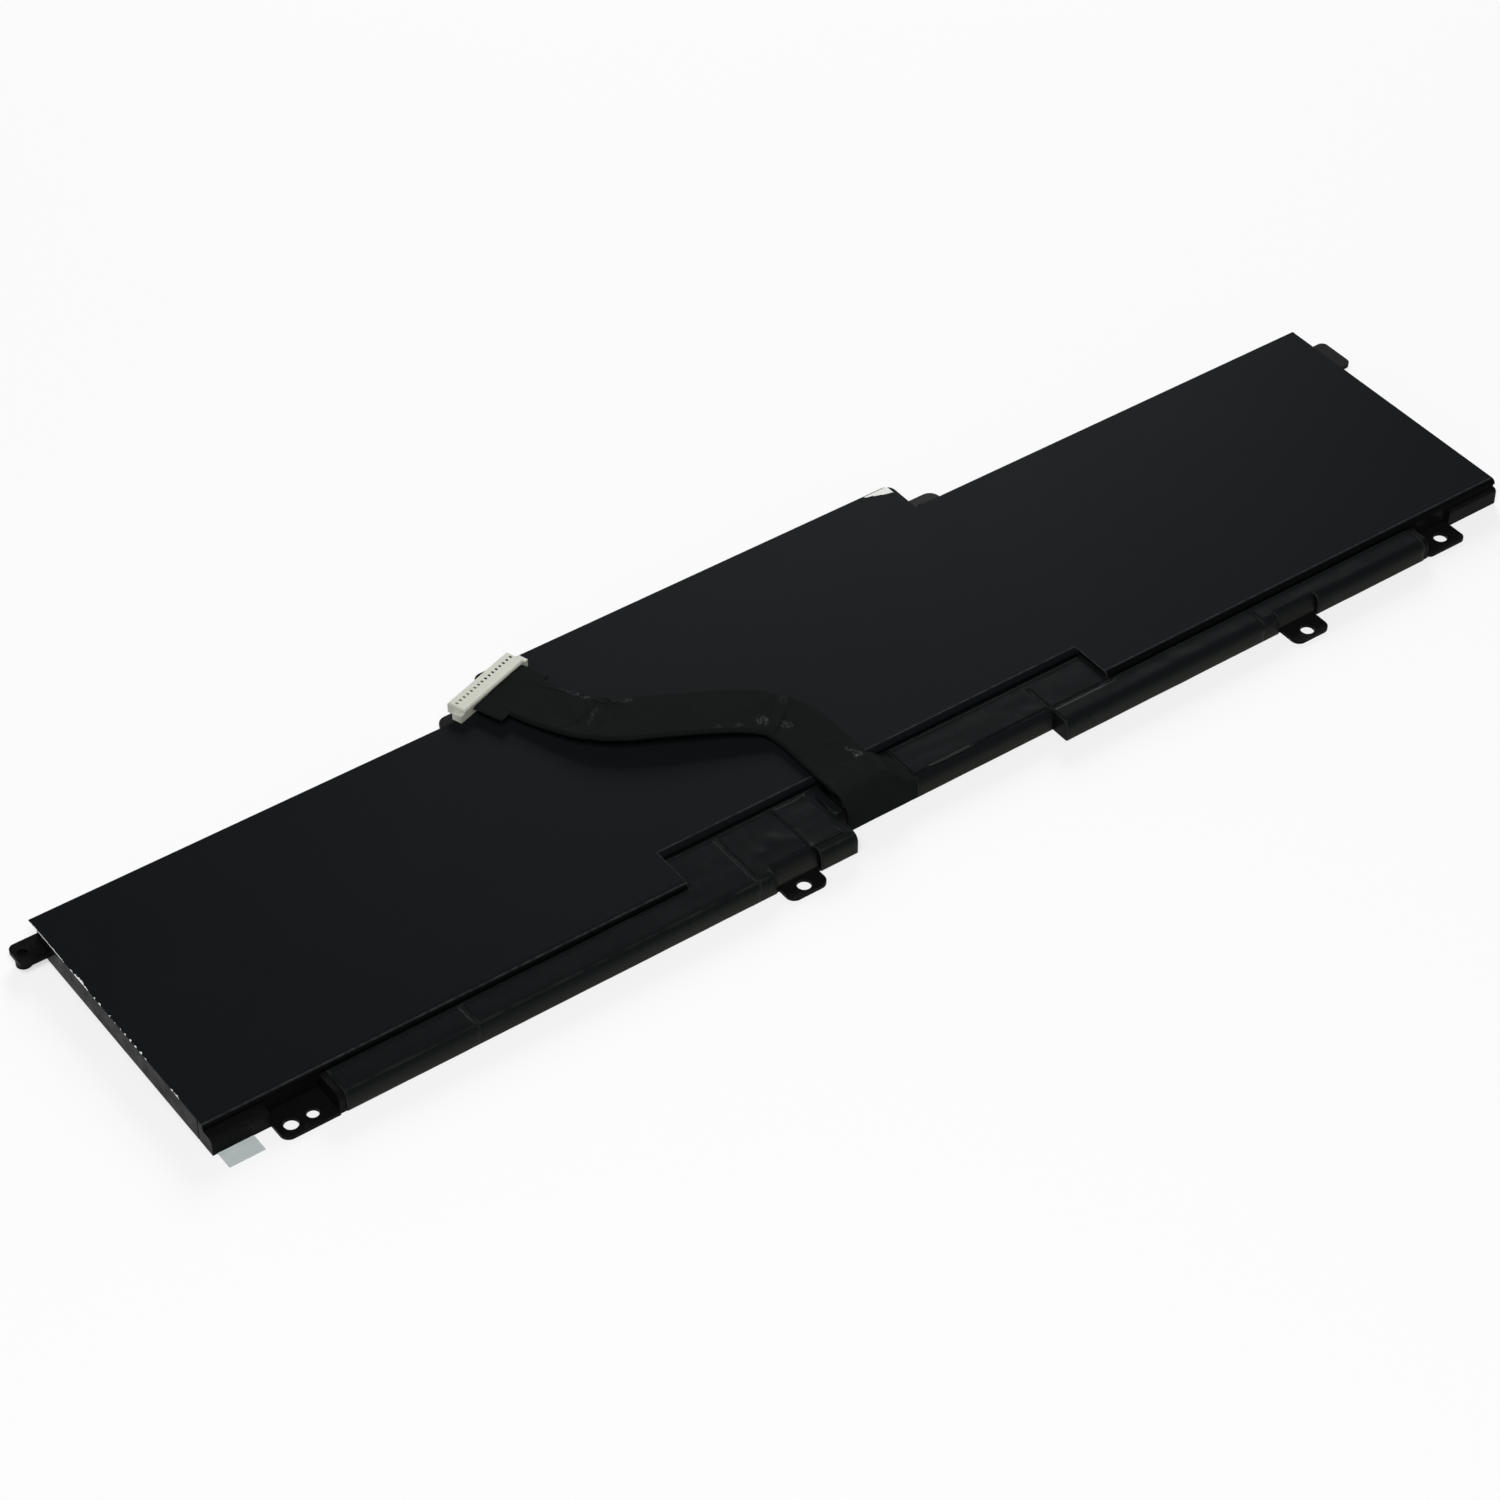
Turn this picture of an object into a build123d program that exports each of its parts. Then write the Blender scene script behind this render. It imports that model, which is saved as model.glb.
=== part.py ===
from build123d import *
from math import atan2, degrees, hypot, radians, sqrt, tan
import os

# A thin internal laptop battery pack. X runs along the pack, Y from the front rail to the back edge
# and Z up. The origin is under the middle of the pack. All sizes are in millimetres.

os.makedirs("parts", exist_ok=True)

# Pouch cells
cell_width = 107.0  # along X, folded side seals included
cell_length = 64.2  # along Y, front terrace included
cell_thick = 5.3
cell_round = 1.2  # edge radius of the pressed cup
side_seal = 0.6  # folded seal along each side
terrace_length = 4.2  # sealed flap in front of the cup
terrace_thick = 0.6
terrace_inset = 3.0  # terrace corners set in from the cell's sides
cell_gap = 0.5  # clearance round a cell in its bay

# Metal tabs of the cells, and the plates they are welded to
foil = 0.2
foil_width = 5.0
foil_margin = 31.5  # from a side of the cell to the middle of a tab
foil_end = 0.4  # plate left bare past the tab's end
weld_plate_width = 6.0
weld_plate_depth = 2.8
weld_plate_thick = 0.3
weld_plate_back = 1.6  # back edge of a plate, in front of its bay
window_margin = 0.5  # room round a tab where it passes the bay's wall

# Films and adhesive
film = 0.2
film_overhang = 0.15
fold_gap = 0.05  # between the top film's fold and the bays' front walls
fold_lift = 0.1  # foot of that fold above the rail
film_gap = 0.2  # clearance round the bottom film
base_rim = 0.15  # the carrier's rim stands this far below the bottom film
pad_thick = 0.15
pad_margin = 6.0  # pads are this much smaller than the cup on each side

# Carrier walls
end_wall = 2.0
rib = 1.0  # between two bays
bay_wall = 1.0  # front and back walls of a bay
front_round = 0.9  # front top edge of a bay, under the folded film
stagger = 9.7  # how far the middle bay stands back
outer_corner = 3.5  # rounded back corners of the outer bays
step_corner = 2.0  # rounded back corners of the middle bay
seam_width = 0.3  # upright seam in each end wall
seam_depth = 0.25
seam_place = 2.0  # behind the bays' front

# Front rail, a trough for the protection board
left_rail_depth = 7.9
right_rail_depth = 6.5
recess_depth = 2.0  # the rail's middle stretch stands back to this depth
rail_top = 4.7
rail_wall = 1.6
rail_round = 1.5
floor = 0.8
ledge = 1.2  # shelf for the tapes along the bays' front walls
gutter_width = 0.6  # groove between that shelf and the film
gutter_depth = 0.8
recess_place = -17.5  # X of the recess's left end
recess_length = 55.5

# Low shelves at the front corners
left_shelf_depth = 3.0
right_shelf_depth = 1.1
shelf_top = 4.1
shelf_round = 0.9
left_shelf_length = 12.7
right_shelf_length = 14.0

# Screw tabs and side tabs
tab_thick = 0.8
screw_radius = 1.55
small_screw_radius = 1.3
left_front_tab = 14.7  # tab's middle, from the recess
right_front_tab = 7.1  # tab's middle, from the middle of the right bay
front_tab_width = 9.6
front_tab_reach = 12.2  # from the bays' front
front_tab_hole = 9.8  # hole centre, from the bays' front
tab_round = 2.0
notch_width = 11.0  # the rail is cut back behind each front tab
notch_wall = 0.8
notch_tops = (5.0, 4.6)  # slanted face of each notch at the rail's top, from the bays' front
notch_feet = (7.0, 5.9)  # and at the tab
left_tab_width = 12.3  # corner tab between the left shelf and the rail
left_tab_reach = 8.2
left_tab_hole = 5.2
left_hole_places = (3.1, 7.9)  # from the shelf
right_tab_width = 11.1
right_tab_reach = 6.9
right_tab_round = 1.5
right_tab_hole = 3.6
right_hole_place = 6.4  # from the rail
back_tab_width = 10.8
back_tab_reach = 7.8
back_tab_round = 2.5
side_tab_reach = 6.2
side_tab_base = 2.0
side_tab_thick = 1.0
side_tab_round = 1.5
left_side_tab = (59.5, 66.0)  # from the bays' front
right_side_tab = (53.4, 63.2)
pin_radius = 1.7
pin_inset = 1.9  # pin centre, from the side tab's end
dimple_radius = 1.1
dimple_depth = 0.7

# Protection board and what is on it
board_thick = 0.8
board_gap = 0.15  # clearance round the board
peg_radius = 0.7
peg_gap = 0.1
peg_stand = 0.4  # pegs stand this far above the board
peg_inset = 20.0  # from the outer end of each rail
chip_size = (1.6, 0.8, 0.6)
chip_count = 10
chip_pitch = 3.1
chip_first = 23.5  # first small part, from the recess's left end
chip_row = 2.5  # Y of the row, from the outer bays' front

# Tapes on the rail
tape_gap = 0.05  # between a tape and what it lies on
tape_foot = 0.1  # lower edge of a tape above the underside
tape_back = 0.7  # back edge of a tape, in front of the bay's wall
tape_joint = 0.1  # between two tapes
rail_bare = 1.5  # bare end of each rail
left_joint = 31.7  # tape joint, from the left rail's outer end
middle_joint = 24.0  # from the recess
right_joint = 9.5  # from the middle of the right front tab
patch_size = (8.0, 13.4)
patch_thick = 0.15
patch_place = (-5.9, 1.1)  # centre, from the recess's left end and the outer bays' front

# Flat cable, its lead wires and its tapes
cable_width = 13.0
cable_thick = 1.3
wire_count = 8
wire_pitch = 1.55
wire_radius = 0.45
wire_sides = 6  # flat sides of a wire, which keep the bends light
wire_foot = 3.5  # straight stretch of each wire on the board
exit_tape_width = 17.8
exit_tape_shift = 2.3  # to the right of the cable's middle
exit_tape_length = 5.5  # along the cable's top
exit_shoulder = 4.2  # height where the exit tape leaves the rail's face
end_tape_width = 17.0
end_tape_length = 8.0
end_tape_skin = 0.25
end_tape_shift = -0.7  # across, from the cable's middle

# Connector
connector_width = 20.0
connector_depth = 4.6
connector_height = 2.6
connector_lift = 0.1  # above the top film
connector_shift = -1.5  # across, from the cable's middle
ear_size = (1.2, 2.4, 1.8)
ear_place = 1.2  # ear centre, from the connector's rear
contact_count = 16
contact_pitch = 1.2
contact_size = (0.4, 3.2, 0.8)
slot_gap = 0.1
contact_rise = 0.9  # slot floor above the housing's underside
window_size = (0.5, 0.7)  # opening in the housing's top over each contact
window_place = 2.85  # window centre, from the connector's rear

# Pale tail of tape under the front left corner
tail_thick = 0.12
tail_width = 7.9
tail_place = 1.0  # from the pack's left end
tail_reach = 7.4  # from the bays' front

# Sizes that follow
bay_width = cell_width + 2 * cell_gap
bay_depth = cell_length + 2 * cell_gap + 2 * bay_wall
pack_length = 3 * bay_width + 2 * rib + 2 * end_wall
cell_base = base_rim + film + pad_thick
wall_top = cell_base + cell_thick
overall_depth = front_tab_reach + stagger + bay_depth + film_overhang
left_x = -pack_length / 2
right_x = pack_length / 2
front_y = front_tab_reach - overall_depth / 2  # front of the outer bays
middle_y = front_y + stagger  # front of the middle bay
back_y = front_y + bay_depth  # back of the outer bays
left_rail_y = front_y - left_rail_depth
right_rail_y = front_y - right_rail_depth
recess_y = front_y - recess_depth
half_bay = bay_width / 2
bay_pitch = bay_width + rib
foil_spread = cell_width - 2 * foil_margin
bays = ((-bay_pitch, front_y), (0.0, middle_y), (bay_pitch, front_y))
bay_fronts = ((left_x, -half_bay, front_y), (-half_bay, half_bay, middle_y), (half_bay, right_x, front_y))
left_rail = (left_x + left_shelf_length + left_tab_width, recess_place)
right_rail = (recess_place + recess_length, right_x - right_shelf_length - right_tab_width)
front_tabs = (left_rail[1] - left_front_tab, bay_pitch - right_front_tab)
notches = tuple(zip(front_tabs, (left_rail_y, right_rail_y), notch_tops, notch_feet))
board_top = floor + board_thick
foil_z = board_top + weld_plate_thick + foil / 2
film_top = wall_top + film
fold_foot = rail_top + fold_lift
fold_round = min(front_round, wall_top - fold_foot)
tape_rise = tape_gap + film / 2  # middle of a tape above what it lies on
side_tab_top = side_tab_base + side_tab_thick

# Route of the flat cable: points chosen along its middle, from the rail to the connector
exit_x = recess_place + 8.5
cable_rest = film_top + 0.85
cable_route = (
    (exit_x, front_y + 3.0, cable_rest),
    (exit_x, front_y + 13.5, cable_rest),
    (exit_x + 0.3, front_y + 25.6, film_top + 1.2),
    (exit_x - 6.4, front_y + 33.2, film_top + 2.2),
    (exit_x - 19.2, front_y + 38.6, film_top + 3.1),
    (exit_x - 32.6, front_y + 45.6, film_top + 2.9),
    (exit_x - 39.6, front_y + 58.0, film_top + 1.6),
    (exit_x - 43.6, front_y + 69.9, film_top + 1.4),
)
cable_exit = cable_route[0]
cable_end = cable_route[-1]


def keep(piece, name):
    """Labels a finished piece and writes it."""
    piece.part.label = name
    export_step(piece.part, f"parts/{name}.step")


def span(x_min, x_max, y_min, y_max, mode=Mode.ADD):
    """Draws a rectangle between four edges in the sketch that is open."""
    with Locations(((x_min + x_max) / 2, (y_min + y_max) / 2)):
        Rectangle(x_max - x_min, y_max - y_min, mode=mode)


def draw_trough():
    """Draws the inside of the rail's trough in the sketch that is open."""
    left_front, right_front = left_rail_y + rail_wall, right_rail_y + rail_wall
    inner_left, inner_right = left_rail[1] - rail_wall, right_rail[0] + rail_wall
    span(left_rail[0] + rail_wall, inner_left, left_front, front_y - ledge)
    span(inner_right, right_rail[1] - rail_wall, right_front, front_y - ledge)
    span(-half_bay, inner_left, left_front, middle_y - ledge)
    span(inner_right, half_bay, right_front, middle_y - ledge)
    span(inner_left, inner_right, recess_y + rail_wall, middle_y - ledge)
    half_notch = notch_width / 2 + notch_wall
    for x, rail_front, top, foot in notches:
        span(x - half_notch, x + half_notch, rail_front, front_y - top + notch_wall, mode=Mode.SUBTRACT)


def corner_radii(points):
    """The largest even radius at each corner of a route: 0.45 of the shorter run over tan of half the turn."""
    radii = []
    for before, corner, after in zip(points, points[1:], points[2:]):
        run_in = (corner[0] - before[0], corner[1] - before[1])
        run_out = (after[0] - corner[0], after[1] - corner[1])
        turn = degrees(atan2(run_out[1], run_out[0]) - atan2(run_in[1], run_in[0]))
        turn = abs((turn + 180) % 360 - 180)
        radii.append(0.45 * min(hypot(*run_in), hypot(*run_out)) / tan(radians(turn / 2)))
    return radii


# Carrier: one moulding with the bays, the front rail and all tabs
with BuildPart() as carrier:
    # Walls of the three bays, solid until the bays are opened below
    with BuildSketch() as walls:
        span(left_x, -half_bay, front_y, back_y)
        span(half_bay, right_x, front_y, back_y)
        span(-half_bay - rib, half_bay + rib, middle_y, middle_y + bay_depth)
        back_corners = walls.vertices().filter_by_position(Axis.Y, back_y - 0.01, back_y + 0.01)
        fillet(back_corners.filter_by(lambda v: abs(v.X) > right_x - 0.01), radius=outer_corner)
        fillet(walls.vertices().group_by(Axis.Y)[-1], radius=step_corner)
    extrude(amount=wall_top)

    # Rounded front top edge of each bay
    for x_min, x_max, y in bay_fronts:
        with BuildSketch(Plane.YZ.offset(x_min)):
            span(y, y + fold_round, wall_top - fold_round, wall_top)
            with Locations((y + fold_round, wall_top - fold_round)):
                Circle(fold_round, mode=Mode.SUBTRACT)
        extrude(amount=x_max - x_min, mode=Mode.SUBTRACT)

    # Front rail with its rounded front edge
    with BuildSketch() as rail:
        span(*left_rail, left_rail_y, front_y)
        span(*right_rail, right_rail_y, front_y)
        span(-half_bay, half_bay, front_y, middle_y)
        span(left_rail[1], right_rail[0], recess_y, middle_y)
    extrude(amount=rail_top)
    rail_edges = carrier.edges().filter_by(Axis.X).filter_by_position(Axis.Z, rail_top - 0.01, rail_top + 0.01)
    fillet(rail_edges.filter_by_position(Axis.Y, left_rail_y - 0.01, recess_y + 0.01), radius=rail_round)

    # Shelves at the front corners
    with BuildSketch():
        span(left_x, left_x + left_shelf_length, front_y - left_shelf_depth, front_y)
        span(right_x - right_shelf_length, right_x, front_y - right_shelf_depth, front_y)
    extrude(amount=shelf_top)
    shelf_edges = carrier.edges().filter_by(Axis.X).filter_by_position(Axis.Z, shelf_top - 0.01, shelf_top + 0.01)
    fillet(shelf_edges.filter_by(lambda e: e.center().Y < front_y - 0.01), radius=shelf_round)

    # Trough for the board, and the gutter along the bays' front walls
    with BuildSketch(Plane.XY.offset(floor)):
        draw_trough()
    extrude(amount=rail_top - floor, mode=Mode.SUBTRACT)
    with BuildSketch(Plane.XY.offset(rail_top - gutter_depth)):
        span(left_rail[0], -half_bay - rib, front_y - gutter_width, front_y)
        span(half_bay + rib, right_rail[1], front_y - gutter_width, front_y)
        span(-half_bay, half_bay, middle_y - gutter_width, middle_y)
    extrude(amount=gutter_depth, mode=Mode.SUBTRACT)

    # Slanted notches in the rail behind the front tabs
    for x, rail_front, top, foot in notches:
        with BuildSketch(Plane.YZ.offset(x - notch_width / 2)):
            with BuildLine():
                Polyline(
                    (rail_front - 1, tab_thick),
                    (front_y - foot, tab_thick),
                    (front_y - top, rail_top),
                    (rail_front - 1, rail_top),
                    close=True,
                )
            make_face()
        extrude(amount=notch_width, mode=Mode.SUBTRACT)

    # Tabs at the underside: two in front, one in each front corner, one in each back step
    with BuildSketch() as tabs:
        for x in front_tabs:
            with Locations((x, front_y - front_tab_reach / 2)):
                RectangleRounded(front_tab_width, front_tab_reach, tab_round)
        span(left_x + left_shelf_length, left_rail[0], front_y - left_tab_reach, front_y)
        span(right_rail[1], right_x - right_shelf_length, front_y - right_tab_reach, front_y)
        fillet(tabs.vertices().sort_by(Axis.X)[:4].sort_by(Axis.Y)[0], radius=tab_round)
        fillet(tabs.vertices().sort_by(Axis.X)[-4:].sort_by(Axis.Y)[:2], radius=right_tab_round)
    extrude(amount=tab_thick)
    with BuildSketch() as back_tabs:
        for side in (-1, 1):
            with Locations((side * (half_bay + rib + back_tab_width / 2), back_y + back_tab_reach / 2)):
                Rectangle(back_tab_width, back_tab_reach)
        fillet(back_tabs.vertices().group_by(Axis.Y)[-1].sort_by(Axis.X)[0], radius=back_tab_round)
        fillet(back_tabs.vertices().group_by(Axis.Y)[-1].sort_by(Axis.X)[-1], radius=back_tab_round)
    extrude(amount=tab_thick)

    # Side tabs, the left one with a locating pin
    with BuildSketch(Plane.XY.offset(side_tab_base)) as side_tabs:
        span(left_x - side_tab_reach, left_x + end_wall, front_y + left_side_tab[0], front_y + left_side_tab[1])
        span(right_x - end_wall, right_x + side_tab_reach, front_y + right_side_tab[0], front_y + right_side_tab[1])
        fillet(side_tabs.vertices().group_by(Axis.X)[0], radius=side_tab_round)
        fillet(side_tabs.vertices().group_by(Axis.X)[-1], radius=side_tab_round)
    extrude(amount=side_tab_thick)
    pin_place = (left_x - side_tab_reach + pin_inset, front_y + sum(left_side_tab) / 2)
    with BuildSketch():
        with Locations(pin_place):
            Circle(pin_radius)
    extrude(amount=side_tab_base)
    with BuildSketch(Plane.XY.offset(side_tab_top)):
        with Locations(pin_place):
            Circle(dimple_radius)
    extrude(amount=-dimple_depth, mode=Mode.SUBTRACT)

    # Bays, open from top to bottom, and the room that the bottom film needs under the ribs
    with BuildSketch():
        for x, y in bays:
            span(x - half_bay, x + half_bay, y + bay_wall, y + bay_depth - bay_wall)
    extrude(amount=wall_top, mode=Mode.SUBTRACT)
    with BuildSketch():
        for x in (-half_bay - rib, half_bay):
            span(x, x + rib, middle_y + bay_wall, back_y - bay_wall)
    extrude(amount=base_rim + film, mode=Mode.SUBTRACT)

    # Windows for the cells' tabs
    for x, y in bays:
        for side in (-1, 1):
            with Locations((x + side * foil_spread / 2, y + (bay_wall - ledge) / 2, foil_z)):
                Box(
                    foil_width + 2 * window_margin,
                    bay_wall + ledge,
                    foil + 2 * window_margin,
                    mode=Mode.SUBTRACT,
                )

    # Pegs for the board
    peg_places = (
        (left_rail[0] + peg_inset, (left_rail_y + rail_wall + front_y - ledge) / 2),
        (right_rail[1] - peg_inset, (right_rail_y + rail_wall + front_y - ledge) / 2),
    )
    with BuildSketch(Plane.XY.offset(floor)):
        with Locations(*peg_places):
            Circle(peg_radius)
    extrude(amount=board_thick + peg_stand)

    # Seams in the end walls, and the shallow bed of the tape tail
    with Locations(
        (left_x, front_y + seam_place, wall_top / 2),
        (right_x, front_y + seam_place, wall_top / 2),
    ):
        Box(2 * seam_depth, seam_width, wall_top, mode=Mode.SUBTRACT)
    with BuildSketch():
        tail_start = left_x + tail_place
        span(tail_start, tail_start + tail_width, front_y - left_shelf_depth, front_y + bay_wall)
    extrude(amount=tail_thick, mode=Mode.SUBTRACT)

    # Screw holes
    with Locations(*[(x, front_y - front_tab_hole, tab_thick) for x in front_tabs]):
        Hole(screw_radius, tab_thick)
    with Locations((left_x + left_shelf_length + left_hole_places[0], front_y - left_tab_hole, tab_thick)):
        Hole(screw_radius, tab_thick)
    with Locations((left_x + left_shelf_length + left_hole_places[1], front_y - left_tab_hole, tab_thick)):
        Hole(small_screw_radius, tab_thick)
    with Locations((right_rail[1] + right_hole_place, front_y - right_tab_hole, tab_thick)):
        Hole(screw_radius, tab_thick)
    back_hole_x = half_bay + rib + back_tab_width / 2
    with Locations(*[(side * back_hole_x, back_y + back_tab_reach / 2, tab_thick) for side in (-1, 1)]):
        Hole(screw_radius, tab_thick)
keep(carrier, "carrier_frame")

# Pouch cells: a pressed cup, its sealed terrace in front and the folded seals at its sides
for name, (x, y) in zip(("cell_left", "cell_middle", "cell_right"), bays):
    cell_front = y + bay_wall + cell_gap
    cell_back = cell_front + cell_length
    cup_half = cell_width / 2 - side_seal
    with BuildPart() as cell:
        with BuildSketch(Plane.XY.offset(cell_base)):
            span(x - cup_half, x + cup_half, cell_front + terrace_length, cell_back)
        extrude(amount=cell_thick)
        fillet(cell.edges(), radius=cell_round)
        with BuildSketch(Plane.XY.offset(foil_z - terrace_thick / 2)):
            terrace_half = cell_width / 2 - terrace_inset
            span(x - terrace_half, x + terrace_half, cell_front, cell_front + terrace_length + cell_round)
        extrude(amount=terrace_thick)
        with BuildSketch(Plane.XY.offset(cell_base + cell_round)):
            for side in (-1, 1):
                with Locations((x + side * (cell_width - side_seal) / 2, (cell_front + terrace_length + cell_back) / 2)):
                    Rectangle(side_seal, cell_length - terrace_length - 2 * cell_round)
        extrude(amount=cell_thick - 2 * cell_round)
    keep(cell, name)

# Metal tabs of the cells and the weld plates on the board
for name, side in (("positive_tabs", -1), ("negative_tabs", 1)):
    with BuildPart() as cell_foils:
        with BuildSketch(Plane.XY.offset(foil_z - foil / 2)):
            for x, y in bays:
                foil_x = x + side * foil_spread / 2
                foil_front = y - weld_plate_back - weld_plate_depth + foil_end
                span(foil_x - foil_width / 2, foil_x + foil_width / 2, foil_front, y + bay_wall + cell_gap)
        extrude(amount=foil)
    keep(cell_foils, name)

with BuildPart() as weld_plates:
    with BuildSketch(Plane.XY.offset(board_top)):
        for x, y in bays:
            for side in (-1, 1):
                with Locations((x + side * foil_spread / 2, y - weld_plate_back - weld_plate_depth / 2)):
                    Rectangle(weld_plate_width, weld_plate_depth)
    extrude(amount=weld_plate_thick)
keep(weld_plates, "weld_plates")

# Adhesive pads under the cells, and the two films
with BuildPart() as cell_pads:
    with BuildSketch(Plane.XY.offset(base_rim + film)):
        for x, y in bays:
            cup_front = y + bay_wall + cell_gap + terrace_length
            cup_back = y + bay_depth - bay_wall - cell_gap
            pad_half = cell_width / 2 - pad_margin
            span(x - pad_half, x + pad_half, cup_front + pad_margin, cup_back - pad_margin)
    extrude(amount=pad_thick)
keep(cell_pads, "cell_pads")

with BuildPart() as bottom_film:
    with BuildSketch(Plane.XY.offset(base_rim)):
        for x, y in bays:
            span(x - half_bay, x + half_bay, y + bay_wall, y + bay_depth - bay_wall)
        for x in (-half_bay - rib, half_bay):
            span(x, x + rib, middle_y + bay_wall, back_y - bay_wall)
        offset(amount=-film_gap, kind=Kind.INTERSECTION, mode=Mode.REPLACE)
    extrude(amount=film)
keep(bottom_film, "bottom_film")

# Top film: one flat sheet, folded down over the front of each bay
with BuildPart() as top_film:
    flat_start = fold_round + film_overhang
    with BuildSketch(Plane.XY.offset(wall_top)) as flat:
        span(left_x, -half_bay, front_y + flat_start, back_y)
        span(half_bay, right_x, front_y + flat_start, back_y)
        span(-half_bay - rib, half_bay + rib, middle_y + flat_start, middle_y + bay_depth)
        offset(amount=film_overhang, kind=Kind.INTERSECTION, mode=Mode.REPLACE)
        fillet(flat.vertices().group_by(Axis.Y)[-1], radius=step_corner + film_overhang)
    extrude(amount=film)
    for x_min, x_max, y in bay_fronts:
        grow = film_overhang if y == front_y else -film_overhang
        top, face = wall_top + film / 2, y - fold_gap - film / 2
        with BuildSketch(Plane.YZ.offset(x_min - grow)) as section:
            with BuildLine() as fold:
                FilletPolyline(
                    (y + flat_start, top),
                    (face, top),
                    (face, fold_foot),
                    radius=fold_round + film / 2,
                )
            trace(fold.line, line_width=film)
        extrude(section.sketch, amount=x_max - x_min + 2 * grow)
keep(top_film, "top_film")

# Protection board, cut to the trough
with BuildPart() as board:
    with BuildSketch(Plane.XY.offset(floor)):
        draw_trough()
        offset(amount=-board_gap, kind=Kind.INTERSECTION, mode=Mode.REPLACE)
        with Locations(*peg_places):
            Circle(peg_radius + peg_gap, mode=Mode.SUBTRACT)
    extrude(amount=board_thick)
keep(board, "protection_board")

# Parts on the board: size, then centres as X and Y from the outer bays' front
chip_places = tuple((recess_place + chip_first + i * chip_pitch, chip_row) for i in range(chip_count))
board_parts = {
    "gauge_chip": ((5.0, 5.0, 0.9), ((8.0 - half_bay, 3.0),)),
    "protector_chip": ((3.0, 3.0, 0.8), ((14.5 - half_bay, 3.0),)),
    "power_transistors": ((3.3, 3.3, 1.0), ((19.5 - half_bay, 3.2), (23.8 - half_bay, 3.2))),
    "sense_resistor": ((6.4, 3.2, 0.6), ((8.0 - half_bay, -2.5),)),
    "safety_fuse": ((4.0, 2.6, 1.2), ((recess_place - 5.0, -1.5),)),
    "thermistor": ((2.0, 1.2, 0.8), ((half_bay - 8.0, 3.0),)),
    "chip_parts": (chip_size, chip_places),
}
for name, ((width, depth, height), places) in board_parts.items():
    with BuildPart() as board_part:
        with BuildSketch(Plane.XY.offset(board_top)):
            with Locations(*[(x, front_y + y) for x, y in places]):
                Rectangle(width, depth)
        extrude(amount=height)
        chamfer(board_part.faces().group_by(Axis.Z)[-1].edges(), length=0.15 * height)
    keep(board_part, name)


def rail_tape(x_min, x_max, y_back, y_front):
    """Adds a tape over the rail: flat from y_back, round the front edge and down the front face."""
    top, face = rail_top + tape_rise, y_front - tape_rise
    with BuildSketch(Plane.YZ.offset(x_min)) as section:
        with BuildLine() as run:
            FilletPolyline((y_back, top), (face, top), (face, tape_foot), radius=rail_round + tape_rise)
        trace(run.line, line_width=film)
    extrude(section.sketch, amount=x_max - x_min)


def notch_tape(x, y_back, notch_top, notch_foot):
    """Adds a tape that runs down the slanted face of the notch behind a front tab."""
    top = rail_top + tape_rise
    slope = (notch_foot - notch_top) / (rail_top - tab_thick)
    lean = tape_rise * sqrt(1 + slope**2)
    shoulder = front_y - notch_top + slope * tape_rise - lean
    foot = front_y - notch_foot + slope * tape_foot - lean
    half = notch_width / 2 - tape_joint
    with BuildSketch(Plane.YZ.offset(x - half)) as section:
        with BuildLine() as run:
            FilletPolyline((y_back, top), (shoulder, top), (foot, tab_thick + tape_foot), radius=film)
        trace(run.line, line_width=film)
    extrude(section.sketch, amount=2 * half)


def flat_tape(x_min, x_max, y_min, y_max):
    """Adds a flat stretch of tape on the rail's top."""
    with BuildSketch(Plane.XY.offset(rail_top + tape_gap)) as outline:
        span(x_min, x_max, y_min, y_max)
    extrude(outline.sketch, amount=film)


# Tapes along the rail, from left to right
outer_tape_back = front_y - tape_back
middle_tape_back = middle_y - tape_back
left_joint_x = left_rail[0] + left_joint
middle_joint_x = left_rail[1] - middle_joint
right_joint_x = front_tabs[1] - right_joint
exit_left = cable_exit[0] + exit_tape_shift - exit_tape_width / 2
exit_right = exit_left + exit_tape_width

with BuildPart() as tape_left_end:
    rail_tape(left_rail[0] + rail_bare, left_joint_x - tape_joint, outer_tape_back, left_rail_y)
keep(tape_left_end, "tape_left_end")

with BuildPart() as tape_left_long:
    rail_tape(left_joint_x, middle_joint_x - tape_joint, outer_tape_back, left_rail_y)
    flat_tape(-half_bay + tape_joint, middle_joint_x - tape_joint, outer_tape_back, middle_tape_back)
keep(tape_left_long, "tape_left_long")

with BuildPart() as tape_middle_left:
    x, rail_front, top, foot = notches[0]
    rail_tape(middle_joint_x, x - notch_width / 2, outer_tape_back, rail_front)
    notch_tape(x, outer_tape_back, top, foot)
    rail_tape(x + notch_width / 2, left_rail[1], outer_tape_back, rail_front)
    flat_tape(middle_joint_x, left_rail[1], front_y - top, middle_tape_back)
    flat_tape(left_rail[1], exit_left - tape_joint, recess_y + rail_round, middle_tape_back)
keep(tape_middle_left, "tape_middle_left")

with BuildPart() as tape_patch:
    with BuildSketch(Plane.XY.offset(rail_top + 2 * tape_gap + film)):
        with Locations((recess_place + patch_place[0], front_y + patch_place[1])):
            Rectangle(*patch_size)
    extrude(amount=patch_thick)
keep(tape_patch, "tape_patch")

with BuildPart() as tape_middle_right:
    rail_tape(exit_right + tape_joint, right_rail[0] - tape_joint, middle_tape_back, recess_y)
    flat_tape(right_rail[0] - 2 * tape_joint, half_bay - tape_joint, front_y - ledge, middle_tape_back)
keep(tape_middle_right, "tape_middle_right")

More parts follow.
